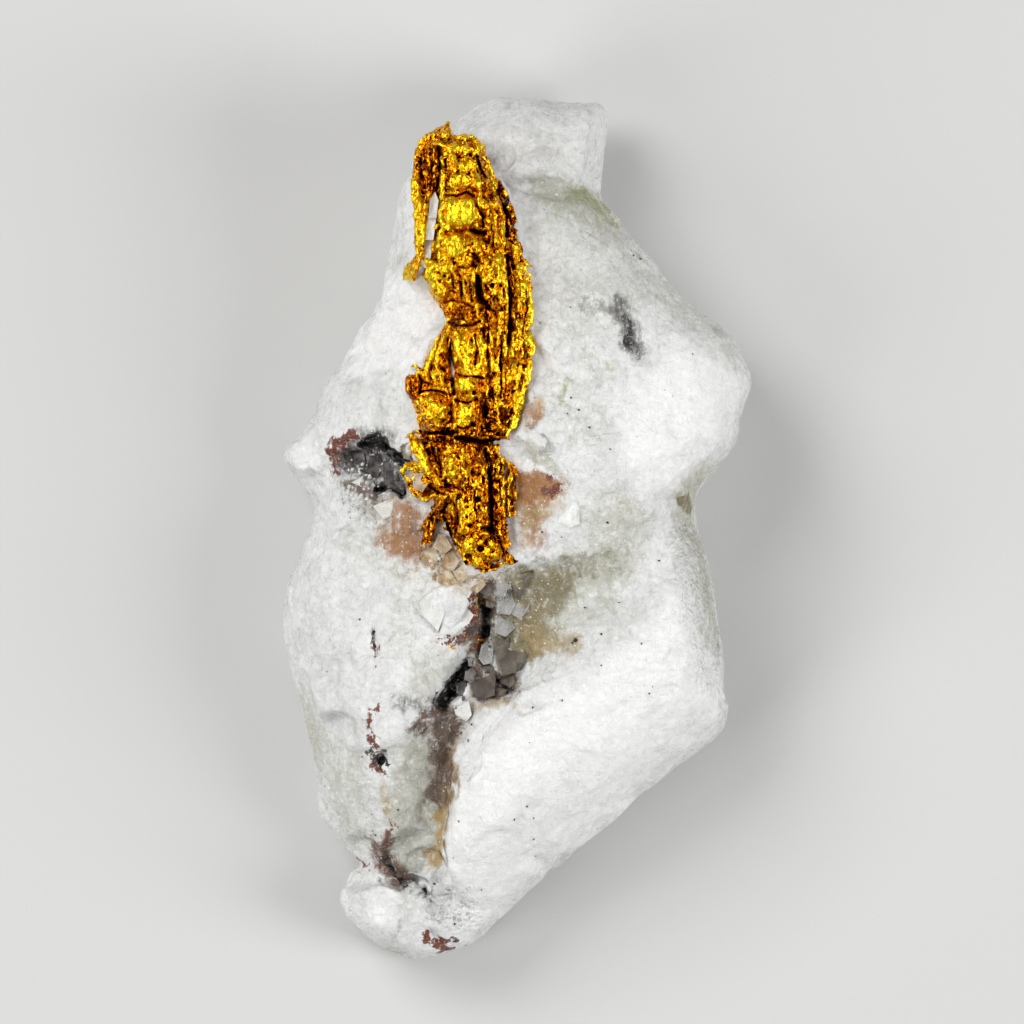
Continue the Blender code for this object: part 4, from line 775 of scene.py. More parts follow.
# ropes: the line seen from above, the thickness at its start, middle and end, and how proud it stands
ropes = [
    # arm down the left
    ([(-3.9, 18.1), (-4.3, 17.5), (-4.5, 16.6), (-4.52, 15.6), (-4.45, 14.6), (-4.38, 13.8), (-4.42, 13.0),
      (-4.4, 12.4), (-4.75, 11.95), (-5.15, 11.55)], (0.26, 0.30, 0.12), 0.15),
    ([(-4.1, 15.3), (-4.15, 14.4), (-4.2, 13.4), (-4.28, 12.6), (-4.45, 12.2)], (0.12, 0.14, 0.12), 0.05),
    ([(-4.7, 16.9), (-4.72, 16.0), (-4.66, 15.0), (-4.6, 14.2), (-4.58, 13.3), (-4.55, 12.6)],
     (0.08, 0.12, 0.10), 0.18),
    ([(-4.6, 12.2), (-4.9, 12.0), (-5.2, 11.5)], (0.12, 0.22, 0.08), 0.15),
    ([(-4.5, 12.1), (-4.7, 11.8), (-4.75, 11.4)], (0.16, 0.20, 0.10), 0.10),
    # shoulder
    ([(-3.75, 18.0), (-4.0, 17.4), (-4.1, 16.6), (-4.0, 15.8), (-3.95, 15.2)], (0.16, 0.24, 0.12), -0.05),
    ([(-3.5, 18.2), (-3.75, 17.6), (-3.75, 16.8), (-3.72, 16.0)], (0.18, 0.20, 0.10), -0.12),
    ([(-3.78, 17.9), (-3.76, 18.42)], (0.13, 0.12, 0.05), 0.0),
    ([(-3.35, 17.7), (-3.2, 18.2), (-3.12, 18.6)], (0.26, 0.22, 0.12), 0.0),
    ([(-3.55, 17.9), (-3.45, 18.35)], (0.18, 0.15, 0.08), -0.1),
    ([(-4.25, 17.7), (-4.05, 18.05), (-3.85, 18.25)], (0.12, 0.16, 0.08), 0.0),
    ([(-4.2, 17.2), (-3.7, 17.6), (-3.2, 17.5)], (0.10, 0.16, 0.12), 0.10),
    # long bright ridge left of the middle
    ([(-3.45, 17.3), (-3.38, 16.6), (-3.40, 15.8), (-3.40, 15.0), (-3.42, 14.3), (-3.40, 13.5),
      (-3.42, 12.8)],
     (0.10, 0.15, 0.24), 0.22),
    ([(-3.62, 14.0), (-3.66, 13.4), (-3.85, 12.6)], (0.10, 0.16, 0.12), -0.05),
    ([(-3.12, 14.2), (-3.10, 13.5), (-3.15, 12.9)], (0.08, 0.12, 0.08), 0.05),
    # right shoulder
    ([(-1.95, 17.2), (-1.75, 16.7), (-1.55, 16.2), (-1.45, 15.6)], (0.12, 0.16, 0.12), 0.0),
    ([(-1.5, 17.1), (-1.3, 16.7), (-1.1, 16.2), (-1.0, 15.6), (-0.95, 15.05)], (0.12, 0.15, 0.10), 0.28),
    ([(-0.85, 15.95), (-0.6, 15.4), (-0.38, 14.8), (-0.15, 14.2), (0.0, 13.7)], (0.16, 0.22, 0.16), 0.05),
    ([(-0.95, 15.2), (-0.75, 14.6), (-0.5, 14.0), (-0.2, 13.4)], (0.16, 0.20, 0.14), -0.10),
    ([(-1.35, 15.6), (-1.3, 15.0), (-1.1, 14.5)], (0.14, 0.18, 0.12), -0.05),
    # parallel ridges down the right half
    ([(-1.75, 15.9), (-1.7, 15.2), (-1.75, 14.6), (-1.55, 14.1)], (0.12, 0.16, 0.10), 0.10),
    ([(-1.28, 14.4), (-1.22, 13.4), (-1.3, 12.4), (-1.12, 11.6), (-1.05, 10.7), (-1.15, 9.8), (-1.2, 9.0),
      (-1.15, 8.0), (-1.02, 7.0), (-0.95, 6.0), (-0.8, 4.7)], (0.11, 0.15, 0.10), 0.12),
    ([(-0.98, 14.7), (-0.92, 13.6), (-0.85, 12.5), (-0.77, 11.5), (-0.72, 10.5), (-0.78, 9.5), (-0.82, 8.5),
      (-0.85, 7.5), (-0.78, 6.5), (-0.65, 5.6)], (0.10, 0.13, 0.10), 0.20),
    ([(-0.68, 14.2), (-0.62, 13.2), (-0.60, 12.3), (-0.52, 11.4), (-0.47, 10.4), (-0.48, 9.4), (-0.52, 8.4),
      (-0.58, 7.4), (-0.62, 6.4)], (0.10, 0.13, 0.08), 0.16),
    ([(-0.35, 13.0), (-0.28, 12.0), (-0.2, 11.0), (-0.15, 10.0), (-0.2, 9.0), (-0.3, 8.3)],
     (0.08, 0.10, 0.08), -0.22),
    ([(0.02, 13.7), (0.12, 13.0), (0.28, 12.4), (0.55, 12.05), (0.82, 11.95)], (0.14, 0.16, 0.06), 0.10),
    ([(-0.12, 13.0), (0.02, 12.3), (0.15, 11.7)], (0.14, 0.18, 0.12), 0.18),
    ([(0.12, 12.0), (0.28, 11.4), (0.34, 10.8), (0.30, 10.2)], (0.14, 0.27, 0.14), 0.30),
    ([(0.16, 10.6), (0.14, 9.8), (0.12, 9.0), (0.08, 8.3)], (0.12, 0.15, 0.10), 0.28),
    ([(0.55, 11.7), (0.66, 10.9), (0.66, 10.0), (0.66, 9.0), (0.68, 8.2), (0.58, 7.3), (0.42, 6.5),
      (0.18, 5.6), (-0.12, 4.8), (-0.45, 4.05)], (0.12, 0.20, 0.16), 0.42),
    ([(0.44, 10.2), (0.42, 9.3), (0.44, 8.4), (0.40, 7.6)], (0.07, 0.09, 0.06), 0.20),
    ([(0.76, 9.15), (0.82, 8.5), (0.78, 7.8)], (0.07, 0.10, 0.07), 0.1),
    ([(0.05, 8.3), (0.15, 7.6), (0.05, 7.0), (-0.1, 6.3), (-0.35, 5.5), (-0.5, 4.9)], (0.15, 0.18, 0.12),
     0.10),
    ([(0.35, 7.6), (0.25, 6.8), (0.0, 6.0), (-0.2, 5.3), (-0.45, 4.6)], (0.12, 0.16, 0.10), 0.22),
    ([(-0.3, 8.4), (-0.25, 7.7), (-0.35, 7.0), (-0.5, 6.2), (-0.6, 5.4)], (0.13, 0.16, 0.12), 0.05),
    # needles over the hollow
    ([(-2.85, 11.7), (-2.72, 11.1), (-2.65, 10.6)], (0.08, 0.12, 0.07), 0.12),
    ([(-2.48, 11.6), (-2.40, 11.0), (-2.25, 10.4)], (0.07, 0.10, 0.06), 0.10),
    ([(-2.22, 11.8), (-2.12, 11.1), (-1.95, 10.4)], (0.06, 0.09, 0.06), 0.16),
    ([(-2.02, 11.9), (-1.92, 11.3), (-1.80, 10.7)], (0.05, 0.07, 0.05), 0.14),
    ([(-2.0, 12.2), (-1.6, 11.8), (-1.42, 11.3), (-1.38, 10.8)], (0.14, 0.18, 0.12), 0.10),
    ([(-1.6, 12.4), (-1.3, 11.8), (-1.15, 11.2)], (0.12, 0.18, 0.12), 0.18),
    ([(-2.0, 13.4), (-1.75, 12.8), (-1.6, 12.2)], (0.14, 0.2, 0.12), -0.02),
    ([(-1.6, 10.4), (-1.55, 9.8), (-1.5, 9.2), (-1.5, 8.6)], (0.12, 0.16, 0.12), -0.12),
    # left ridges under the bulge
    ([(-3.05, 9.5), (-3.4, 8.9), (-3.75, 8.2), (-4.05, 7.5), (-4.2, 7.0)], (0.14, 0.20, 0.14), 0.15),
    ([(-3.0, 9.3), (-3.35, 8.6), (-3.55, 7.8), (-3.75, 7.1), (-3.75, 6.5)], (0.14, 0.20, 0.14), 0.25),
    ([(-2.95, 9.0), (-3.18, 8.3), (-3.32, 7.6), (-3.40, 7.0), (-3.35, 6.5)], (0.09, 0.13, 0.10), 0.0),
    ([(-3.9, 8.0), (-4.15, 7.3), (-4.1, 6.7)], (0.10, 0.20, 0.16), 0.0),
    ([(-4.45, 7.3), (-4.65, 7.45), (-4.85, 7.42)], (0.12, 0.08, 0.03), 0.1),
    # lobes and stems of the middle
    ([(-1.72, 9.1), (-1.6, 8.4), (-1.58, 7.7), (-1.72, 7.0)], (0.14, 0.25, 0.14), 0.10),
    ([(-1.35, 8.8), (-1.35, 8.0), (-1.40, 7.3), (-1.30, 6.6), (-1.35, 5.9)], (0.08, 0.12, 0.10), -0.05),
    ([(-1.65, 6.9), (-1.6, 6.2), (-1.7, 5.4), (-1.55, 4.8)], (0.14, 0.20, 0.16), -0.25),
    ([(-1.25, 6.4), (-1.2, 5.6), (-1.05, 4.9)], (0.12, 0.18, 0.14), -0.15),
    ([(-1.5, 4.7), (-1.1, 4.6), (-0.7, 4.45), (-0.45, 4.2)], (0.12, 0.17, 0.10), 0.0),
    ([(-1.3, 5.2), (-0.95, 4.85), (-0.6, 4.65)], (0.10, 0.14, 0.08), 0.1),
    ([(-4.6, 5.4), (-4.5, 5.0), (-4.35, 4.6)], (0.10, 0.12, 0.08), -0.1),
    ([(-4.1, 4.9), (-3.7, 4.6), (-3.3, 4.5)], (0.10, 0.14, 0.10), -0.05),
    # fins to the left of the waist
    ([(-5.12, 4.15), (-4.75, 4.2), (-4.5, 3.9), (-4.3, 3.4), (-4.1, 2.9), (-3.85, 2.4), (-3.45, 1.95)],
     (0.08, 0.26, 0.16), 0.45),
    ([(-5.0, 4.25), (-4.5, 4.45), (-4.15, 4.3)], (0.05, 0.12, 0.10), 0.0),
    ([(-4.3, 4.3), (-4.05, 3.6), (-3.8, 3.1), (-3.5, 2.5)], (0.10, 0.14, 0.10), -0.1),
    ([(-5.38, 2.6), (-5.0, 2.85), (-4.6, 2.93), (-4.2, 2.75), (-3.9, 2.45)], (0.08, 0.20, 0.14), 0.40),
    ([(-5.35, 2.55), (-5.0, 2.25), (-4.85, 1.85), (-4.5, 1.5), (-4.1, 1.35), (-3.75, 1.6)],
     (0.08, 0.18, 0.12), 0.30),
    ([(-4.2, 2.5), (-4.0, 1.95), (-3.7, 1.75), (-3.3, 1.8)], (0.08, 0.14, 0.10), -0.1),
    ([(-3.2, 1.75), (-3.4, 1.2), (-3.8, 0.6), (-4.1, 0.05), (-4.18, -0.5), (-4.3, -1.0), (-4.5, -1.3)],
     (0.22, 0.26, 0.05), 0.0),
    ([(-3.6, 1.0), (-4.0, 0.55), (-4.25, 0.3)], (0.12, 0.14, 0.08), 0.05),
    ([(-3.9, 0.9), (-3.6, 1.3), (-3.3, 1.6)], (0.06, 0.10, 0.06), 0.15),
    ([(-2.95, 1.6), (-3.0, 0.9), (-3.15, 0.3), (-3.25, -0.15)], (0.12, 0.15, 0.08), 0.0),
    ([(-3.1, 0.3), (-3.0, -0.2), (-2.8, -0.6), (-2.5, -0.9)], (0.12, 0.16, 0.10), -0.2),
    # columns of the lower half
    ([(-2.2, 3.5), (-1.9, 3.1), (-1.75, 2.4), (-1.7, 1.7)], (0.10, 0.22, 0.18), 0.12),
    ([(-2.45, 2.2), (-2.5, 1.4), (-2.45, 0.6), (-2.5, 0.0), (-2.7, -0.5)], (0.16, 0.26, 0.16), 0.12),
    ([(-2.1, 2.4), (-2.1, 1.6), (-2.05, 0.9), (-2.1, 0.2)], (0.16, 0.24, 0.14), 0.08),
    ([(-2.75, 1.8), (-2.8, 1.0), (-2.85, 0.3), (-2.9, -0.3)], (0.08, 0.12, 0.08), -0.05),
    ([(-1.62, 1.2), (-1.55, 0.7), (-1.6, 0.25)], (0.10, 0.19, 0.12), 0.15),
    ([(-1.35, 3.4), (-1.3, 2.7), (-1.4, 2.0), (-1.35, 1.2)], (0.08, 0.10, 0.07), -0.10),
    ([(-1.05, 3.5), (-0.92, 2.8), (-0.86, 2.0), (-0.85, 1.2), (-0.84, 0.4), (-0.8, -0.35)],
     (0.10, 0.16, 0.12), 0.05),
    ([(-0.8, 3.5), (-0.66, 2.8), (-0.62, 2.0), (-0.6, 1.2), (-0.62, 0.4), (-0.6, -0.3)], (0.09, 0.13, 0.10),
     0.0),
    ([(-0.55, 3.3), (-0.3, 2.7), (-0.28, 2.0), (-0.3, 1.2), (-0.3, 0.5)], (0.10, 0.14, 0.08), 0.0),
    ([(-0.45, 3.2), (-0.12, 2.7), (0.02, 2.3), (-0.05, 1.7), (-0.1, 1.1), (-0.12, 0.5)], (0.10, 0.16, 0.06),
     0.05),
    ([(-0.5, 0.3), (-0.42, -0.2), (-0.55, -0.6)], (0.08, 0.12, 0.08), -0.1),
    ([(-0.75, -0.5), (-0.45, -0.75), (-0.1, -0.55), (0.05, -0.42)], (0.12, 0.15, 0.05), -0.05),
    # bottom head
    ([(-2.75, -0.35), (-2.4, -0.15), (-1.9, -0.2), (-1.4, -0.3), (-1.0, -0.6), (-0.8, -1.0)],
     (0.14, 0.22, 0.14), 0.10),
    ([(-2.65, -0.5), (-2.5, -1.0), (-2.25, -1.5), (-1.95, -1.85)], (0.12, 0.20, 0.12), 0.05),
    ([(-2.2, -0.6), (-2.1, -1.1), (-1.8, -1.5), (-1.4, -1.75)], (0.12, 0.16, 0.10), 0.05),
    ([(-1.2, -0.6), (-1.05, -1.1), (-0.85, -1.5)], (0.14, 0.24, 0.14), 0.10),
    ([(-2.0, -1.9), (-1.5, -1.95), (-1.0, -1.85), (-0.7, -1.7)], (0.10, 0.15, 0.10), -0.05),
    ([(-0.75, -0.9), (-0.5, -1.3), (-0.2, -1.55), (0.12, -1.5)], (0.12, 0.17, 0.06), 0.05),
    ([(-0.6, -1.55), (-0.3, -1.65), (0.0, -1.6)], (0.08, 0.10, 0.04), 0.0),
]

# lumps: middle, half width, half length, turn in degrees, how square, how proud
lumps = [
    ((-2.55, 17.75), 0.32, 0.24, 10, 0.8, 0.0), ((-2.05, 17.75), 0.34, 0.26, -10, 0.8, 0.05),
    ((-1.72, 17.45), 0.30, 0.24, -30, 0.8, 0.0), ((-2.35, 17.35), 0.42, 0.26, 5, 0.8, 0.1),
    ((-2.9, 17.35), 0.32, 0.36, 0, 0.8, 0.05), ((-1.95, 17.1), 0.26, 0.22, 0, 0.8, 0.08),
    ((-2.35, 18.05), 0.15, 0.12, 0, 0.8, -0.05), ((-1.5, 17.5), 0.14, 0.16, 0, 0.8, -0.1),
    ((-2.95, 16.65), 0.30, 0.50, 12, 0.7, 0.10), ((-2.3, 16.6), 0.40, 0.42, 20, 0.7, 0.12),
    ((-2.65, 15.85), 0.52, 0.40, 8, 0.7, 0.10), ((-1.95, 15.95), 0.30, 0.44, 10, 0.7, 0.05),
    ((-2.55, 14.45), 0.68, 0.62, 2, 0.45, 0.30), ((-1.75, 14.4), 0.22, 0.44, 4, 0.6, 0.05),
    ((-1.42, 14.75), 0.26, 0.30, 0, 0.7, 0.08), ((-1.05, 14.85), 0.22, 0.26, 0, 0.7, 0.0),
    ((-2.72, 12.95), 0.46, 0.55, -6, 0.6, 0.25), ((-2.15, 12.95), 0.26, 0.40, 0, 0.7, 0.02),
    ((-1.65, 12.85), 0.26, 0.34, 0, 0.7, 0.0), ((-2.35, 12.25), 0.42, 0.30, 0, 0.7, 0.05),
    ((-3.15, 12.05), 0.40, 0.42, 0, 0.7, 0.12), ((-3.75, 11.75), 0.40, 0.50, -15, 0.7, 0.12),
    ((-3.45, 11.05), 0.42, 0.48, -18, 0.7, 0.12), ((-3.35, 10.55), 0.26, 0.26, 0, 0.8, 0.0),
    ((-3.95, 12.05), 0.20, 0.22, 0, 0.8, -0.05), ((-1.0, 10.9), 0.20, 0.30, 0, 0.8, 0.05),
    ((-2.75, 10.0), 0.64, 0.40, 6, 0.7, 0.15), ((-2.05, 9.8), 0.36, 0.34, 0, 0.8, -0.05),
    ((-2.58, 8.35), 0.38, 0.72, 14, 0.75, 0.30), ((-2.22, 7.65), 0.26, 0.62, 8, 0.8, 0.22),
    ((-2.05, 8.55), 0.30, 0.56, 0, 0.75, 0.22),
    ((-2.22, 6.55), 0.48, 0.36, -12, 0.7, 0.22), ((-2.1, 6.15), 0.30, 0.26, 0, 0.8, 0.12),
    ((-2.38, 5.2), 0.30, 0.36, 0, 0.8, 0.12), ((-2.05, 5.0), 0.20, 0.26, 0, 0.8, 0.0),
    ((-3.75, 5.5), 0.62, 0.60, -6, 0.55, 0.28), ((-3.45, 4.95), 0.36, 0.34, 0, 0.7, 0.12),
    ((-4.78, 6.55), 0.34, 0.50, 4, 0.75, 0.35), ((-4.7, 6.1), 0.26, 0.26, 0, 0.8, 0.2),
    ((-4.4, 7.05), 0.26, 0.24, 0, 0.8, 0.15),
    ((-0.05, 7.85), 0.26, 0.30, 0, 0.8, 0.12), ((0.1, 7.25), 0.24, 0.26, 0, 0.8, 0.08),
    ((-2.85, 2.85), 0.48, 0.62, -16, 0.7, 0.30), ((-2.45, 2.35), 0.32, 0.40, -20, 0.8, 0.18),
    ((-3.0, 3.55), 0.22, 0.26, -30, 0.8, 0.10),
    ((-4.45, 3.35), 0.18, 1.00, 32, 0.8, 0.55), ((-4.6, 2.75), 0.70, 0.16, -8, 0.8, 0.50),
    ((-4.6, 1.75), 0.62, 0.14, -37, 0.8, 0.40), ((-3.85, 0.25), 0.24, 1.15, -24, 0.8, 0.20),
    ((-1.95, -0.75), 0.52, 0.44, -10, 0.7, 0.10), ((-1.25, -1.15), 0.44, 0.44, -20, 0.7, 0.08),
    ((-1.6, -1.6), 0.44, 0.28, -10, 0.8, -0.02), ((-0.3, -1.3), 0.26, 0.20, -20, 0.8, 0.0),
]

# clefts: line, depth, half width
clefts = [
    ([(-3.55, 17.4), (-3.50, 16.6), (-3.55, 15.9), (-3.72, 15.2)], 0.55, 0.07),
    ([(-3.22, 16.9), (-3.2, 16.0), (-3.2, 15.4)], 0.25, 0.05),
    ([(-3.25, 15.25), (-2.7, 15.2), (-2.3, 15.35), (-1.95, 15.2)], 0.45, 0.06),
    ([(-3.02, 13.62), (-2.7, 13.58), (-2.3, 13.7), (-2.0, 13.62)], 0.40, 0.06),
    ([(-1.95, 13.62), (-1.7, 13.55), (-1.45, 13.55)], 0.70, 0.14),
    ([(-1.82, 17.0), (-1.68, 16.5), (-1.42, 16.0)], 0.40, 0.08),
    ([(-1.85, 14.9), (-1.6, 14.4), (-1.5, 13.8)], 0.35, 0.06),
    ([(-0.8, 15.7), (-0.75, 15.0), (-0.45, 14.3), (-0.4, 13.4)], 0.28, 0.08),
    ([(-1.1, 13.9), (-1.05, 12.9)], 0.20, 0.04),
    ([(-0.42, 12.5), (-0.32, 11.5), (-0.26, 10.5), (-0.3, 9.5), (-0.38, 8.4)], 0.35, 0.08),
    ([(0.18, 13.2), (0.32, 12.7), (0.5, 12.3)], 0.30, 0.06),
    ([(0.46, 11.0), (0.50, 10.0), (0.32, 9.4), (0.30, 8.4)], 0.22, 0.04),
    ([(-3.95, 12.3), (-3.6, 12.2), (-3.35, 12.3)], 0.35, 0.06),
    ([(-2.95, 11.6), (-2.9, 11.0)], 0.30, 0.05),
    ([(-2.58, 11.3), (-2.5, 10.8), (-2.5, 10.35)], 0.45, 0.06),
    ([(-2.2, 11.4), (-2.1, 10.8), (-2.05, 10.4)], 0.45, 0.05),
    ([(-1.78, 11.5), (-1.72, 11.0), (-1.65, 10.5)], 1.00, 0.15),
    ([(-1.65, 10.6), (-1.3, 10.1), (-1.0, 9.9)], 0.40, 0.10),
    ([(-3.4, 10.35), (-2.9, 10.42), (-2.4, 10.3), (-2.0, 10.1)], 0.30, 0.06),
    ([(-3.1, 9.45), (-2.6, 9.3), (-2.1, 9.3), (-1.7, 9.5)], 0.40, 0.06),
    ([(-3.05, 8.6), (-3.02, 8.0), (-2.95, 7.3), (-2.9, 6.7), (-2.85, 6.2)], 0.95, 0.13),
    ([(-2.9, 7.2), (-2.6, 7.0), (-2.4, 6.95)], 0.55, 0.08),
    ([(-2.3, 6.93), (-1.9, 6.93), (-1.5, 6.85)], 0.40, 0.06),
    ([(-1.9, 8.9), (-1.82, 8.2), (-1.9, 7.5)], 0.30, 0.04),
    ([(-1.25, 8.9), (-1.28, 8.0), (-1.28, 7.0)], 0.30, 0.05),
    ([(-0.68, 8.8), (-0.70, 7.8), (-0.72, 6.8), (-0.72, 6.0)], 0.30, 0.05),
    ([(-4.45, 6.2), (-4.15, 6.32), (-3.7, 6.32), (-3.2, 6.15)], 0.60, 0.06),
    ([(-4.48, 7.0), (-4.35, 6.6), (-4.45, 6.2)], 0.40, 0.06),
    ([(-3.02, 6.1), (-2.95, 5.5), (-3.0, 4.9)], 0.50, 0.09),
    ([(-2.75, 5.85), (-2.2, 5.75), (-1.8, 5.9)], 0.40, 0.07),
    ([(-2.7, 4.65), (-2.2, 4.6), (-1.9, 4.75)], 0.35, 0.06),
    ([(-4.4, 4.5), (-3.9, 4.35), (-3.2, 4.35), (-2.7, 4.4)], 0.40, 0.08),
    ([(-2.7, 4.15), (-2.1, 4.05), (-1.5, 3.95), (-1.0, 3.98), (-0.65, 4.0)], 0.80, 0.12),
    ([(-3.55, 3.6), (-3.5, 3.0), (-3.45, 2.4)], 0.45, 0.06),
    ([(-3.3, 2.0), (-2.9, 1.95), (-2.7, 1.85)], 0.40, 0.06),
    ([(-1.45, 3.6), (-1.25, 3.0), (-1.2, 2.2), (-1.15, 1.4), (-1.18, 0.6), (-1.12, 0.0)], 0.75, 0.09),
    ([(-1.55, 0.0), (-1.25, -0.02), (-1.0, -0.15)], 0.80, 0.11),
    ([(-0.46, 3.0), (-0.45, 2.2), (-0.46, 1.4), (-0.44, 0.6), (-0.46, 0.0)], 0.50, 0.05),
    ([(-0.74, 3.2), (-0.74, 2.0), (-0.72, 1.0)], 0.22, 0.04),
    ([(-1.85, 1.8), (-1.9, 1.1), (-1.85, 0.5)], 0.25, 0.05),
    ([(-2.7, 1.5), (-2.66, 0.8), (-2.7, 0.2)], 0.30, 0.05),
    ([(-1.0, -0.4), (-0.72, -0.75), (-0.6, -1.2)], 0.35, 0.05),
    ([(-0.9, -1.5), (-0.55, -1.45)], 0.30, 0.06),
    ([(-3.3, 0.5), (-3.1, 0.0), (-2.95, -0.3)], 0.45, 0.09),
    ([(-3.9, 3.9), (-3.7, 3.3), (-3.55, 2.8)], 0.35, 0.06),
    ([(-4.0, 1.9), (-3.6, 1.65), (-3.3, 1.55)], 0.35, 0.06),
]

# small holes right through the skin: middle, radius, depth
holes = [
    ((-1.95, 6.2), 0.11, 0.45), ((-1.75, 1.32), 0.14, 0.55), ((-1.65, -0.95), 0.17, 0.55),
    ((-0.98, -1.55), 0.12, 0.35), ((-2.05, 8.6), 0.08, 0.22), ((-0.72, 11.1), 0.10, 0.30),
    ((-1.1, 11.1), 0.12, 0.35), ((-2.0, 4.75), 0.12, 0.40), ((-3.7, 12.25), 0.12, 0.35),
    ((-2.0, 13.0), 0.08, 0.25), ((-1.3, 13.1), 0.10, 0.30), ((-2.5, 12.3), 0.07, 0.22),
    ((-3.1, 17.8), 0.09, 0.25), ((-1.6, 17.35), 0.07, 0.2), ((-2.3, -1.55), 0.10, 0.3),
]

# painted highlights along ridges and painted shade along grooves, with a few broader lighter or darker areas:
# +1 bright yellow, -1 dark red brown
goldHighlightsAndShade = [
    (-0.35, [(-2.2, 3.4), (-2.0, 1.0), (-1.6, -1.8)], 1.5), (+0.35, [(-3.6, 11.8), (-3.0, 10.8)], 0.8),
    (+0.5, [(-2.6, 14.5), (-2.5, 14.3)], 0.7), (+0.4, [(0.2, 11.6), (0.3, 10.4)], 0.3),
    (+1.0, [(-3.0, 14.8), (-2.2, 14.6), (-2.4, 14.1), (-2.9, 14.1)], 0.50),
    (+0.9, [(-3.40, 14.2), (-3.38, 13.4), (-3.42, 12.8)], 0.28),
    (+0.6, [(-3.40, 16.4), (-3.40, 15.0)], 0.14),
    (+0.7, [(-2.9, 13.3), (-2.7, 12.6)], 0.35), (+0.6, [(-3.9, 11.9), (-3.4, 11.2)], 0.45),
    (+0.8, [(0.25, 11.8), (0.35, 11.2), (0.35, 10.7)], 0.30),
    (+0.7, [(0.65, 10.8), (0.64, 9.0), (0.66, 8.0)], 0.14),
    (+0.7, [(0.15, 9.8), (0.1, 8.6)], 0.12), (+0.9, [(0.5, 7.0), (0.2, 5.8), (-0.15, 4.9), (-0.42, 4.3)],
                                        0.15),
    (+0.6, [(0.2, 7.2), (0.3, 6.6), (-0.1, 5.9)], 0.25),
    (+0.7, [(-2.6, 8.6), (-2.4, 7.8), (-2.2, 7.2)], 0.36),
    (+0.6, [(-1.65, 8.6), (-1.6, 7.6)], 0.18), (+0.7, [(-2.5, 6.6), (-1.95, 6.5)], 0.30),
    (+0.9, [(-2.5, 5.4), (-2.4, 5.0)], 0.22), (+0.4, [(-4.1, 5.7), (-3.5, 5.2)], 0.50),
    (+0.7, [(-3.5, 8.6), (-3.7, 7.8), (-3.9, 7.2)], 0.25),
    (+0.6, [(-2.0, 17.8), (-1.7, 17.4), (-2.6, 17.5)], 0.25),
    (+0.5, [(-4.6, 16.0), (-4.55, 14.4), (-4.45, 13.0)], 0.22), (+0.5, [(-2.5, 16.4), (-2.0, 16.2)], 0.45),
    (+0.8, [(-1.08, 16.2), (-0.98, 15.4)], 0.10), (+0.5, [(-0.75, 12.6), (-0.75, 11.4)], 0.12),
    (+0.9, [(-4.4, 3.7), (-4.1, 2.9), (-3.85, 2.4)], 0.14), (+0.8, [(-5.2, 2.7), (-4.6, 2.9)], 0.12),
    (+0.5, [(-3.0, 3.3), (-2.8, 2.6)], 0.45), (+0.6, [(-2.6, 0.9), (-2.2, 0.7)], 0.30),
    (+0.7, [(-2.3, 0.9), (-2.4, 0.3)], 0.16),
    (+0.6, [(-2.3, -0.7), (-1.8, -1.4)], 0.25), (+0.35, [(-1.2, -0.8), (-0.9, -1.2)], 0.25),
    (+0.5, [(-4.9, 11.8), (-5.1, 11.6)], 0.25),
    (-0.9, [(-4.1, 17.2), (-4.0, 16.4), (-3.9, 15.6)], 0.38), (-0.7, [(-4.4, 17.0), (-4.45, 16.2)], 0.25),
    (-0.9, [(-1.7, 16.8), (-1.5, 16.2)], 0.16), (-0.9, [(-1.4, 15.7), (-1.3, 15.1)], 0.20),
    (-1.0, [(-0.7, 15.7), (-0.5, 15.0), (-0.3, 14.3)], 0.30),
    (-0.8, [(-0.4, 14.2), (0.0, 13.7), (-0.2, 13.2)], 0.25),
    (-0.7, [(-1.6, 13.4), (-1.3, 12.7)], 0.25), (-0.6, [(-1.7, 14.6), (-1.4, 14.0)], 0.22),
    (-1.0, [(-0.38, 12.4), (-0.22, 11.0), (-0.2, 9.8), (-0.3, 8.6)], 0.13),
    (-0.7, [(0.45, 10.6), (0.5, 9.4)], 0.07),
    (-0.8, [(-2.7, 11.3), (-1.8, 10.9), (-1.4, 10.3)], 0.30),
    (-0.7, [(-3.2, 10.1), (-2.4, 9.9), (-1.6, 9.8)], 0.35),
    (-0.8, [(-1.4, 10.0), (-1.1, 9.5)], 0.30), (-0.8, [(-3.2, 7.8), (-3.15, 6.8)], 0.20),
    (-0.8, [(-1.5, 9.3), (-1.35, 8.6)], 0.20),
    (-0.8, [(-4.9, 6.8), (-4.75, 6.2)], 0.40), (-0.8, [(-1.6, 6.6), (-1.5, 5.6), (-1.2, 4.9)], 0.35),
    (-0.6, [(-0.6, 8.6), (-0.65, 7.2), (-0.6, 6.0)], 0.14), (-0.5, [(-0.3, 6.6), (-0.4, 5.6)], 0.18),
    (-0.9, [(-4.0, 4.3), (-2.8, 4.1), (-1.6, 4.1), (-0.7, 4.2)], 0.38),
    (-0.8, [(-1.6, 3.7), (-1.3, 3.2)], 0.25),
    (-0.9, [(-1.15, 2.6), (-1.1, 1.2), (-1.1, 0.0)], 0.16), (-0.7, [(-0.75, 0.6), (-0.75, -0.4)], 0.22),
    (-0.8, [(-3.6, 1.0), (-4.0, 0.2), (-4.2, -0.6), (-4.4, -1.1)], 0.32),
    (-0.8, [(-3.1, 0.4), (-2.9, -0.3)], 0.25),
    (-0.8, [(-0.2, 0.4), (-0.25, -0.4), (0.0, -0.5)], 0.18), (-0.7, [(-3.7, 1.8), (-3.3, 1.7)], 0.15),
    (-0.6, [(-0.5, -1.2), (0.0, -1.5)], 0.20), (-0.5, [(-1.4, -1.7), (-0.9, -1.7)], 0.15),
]


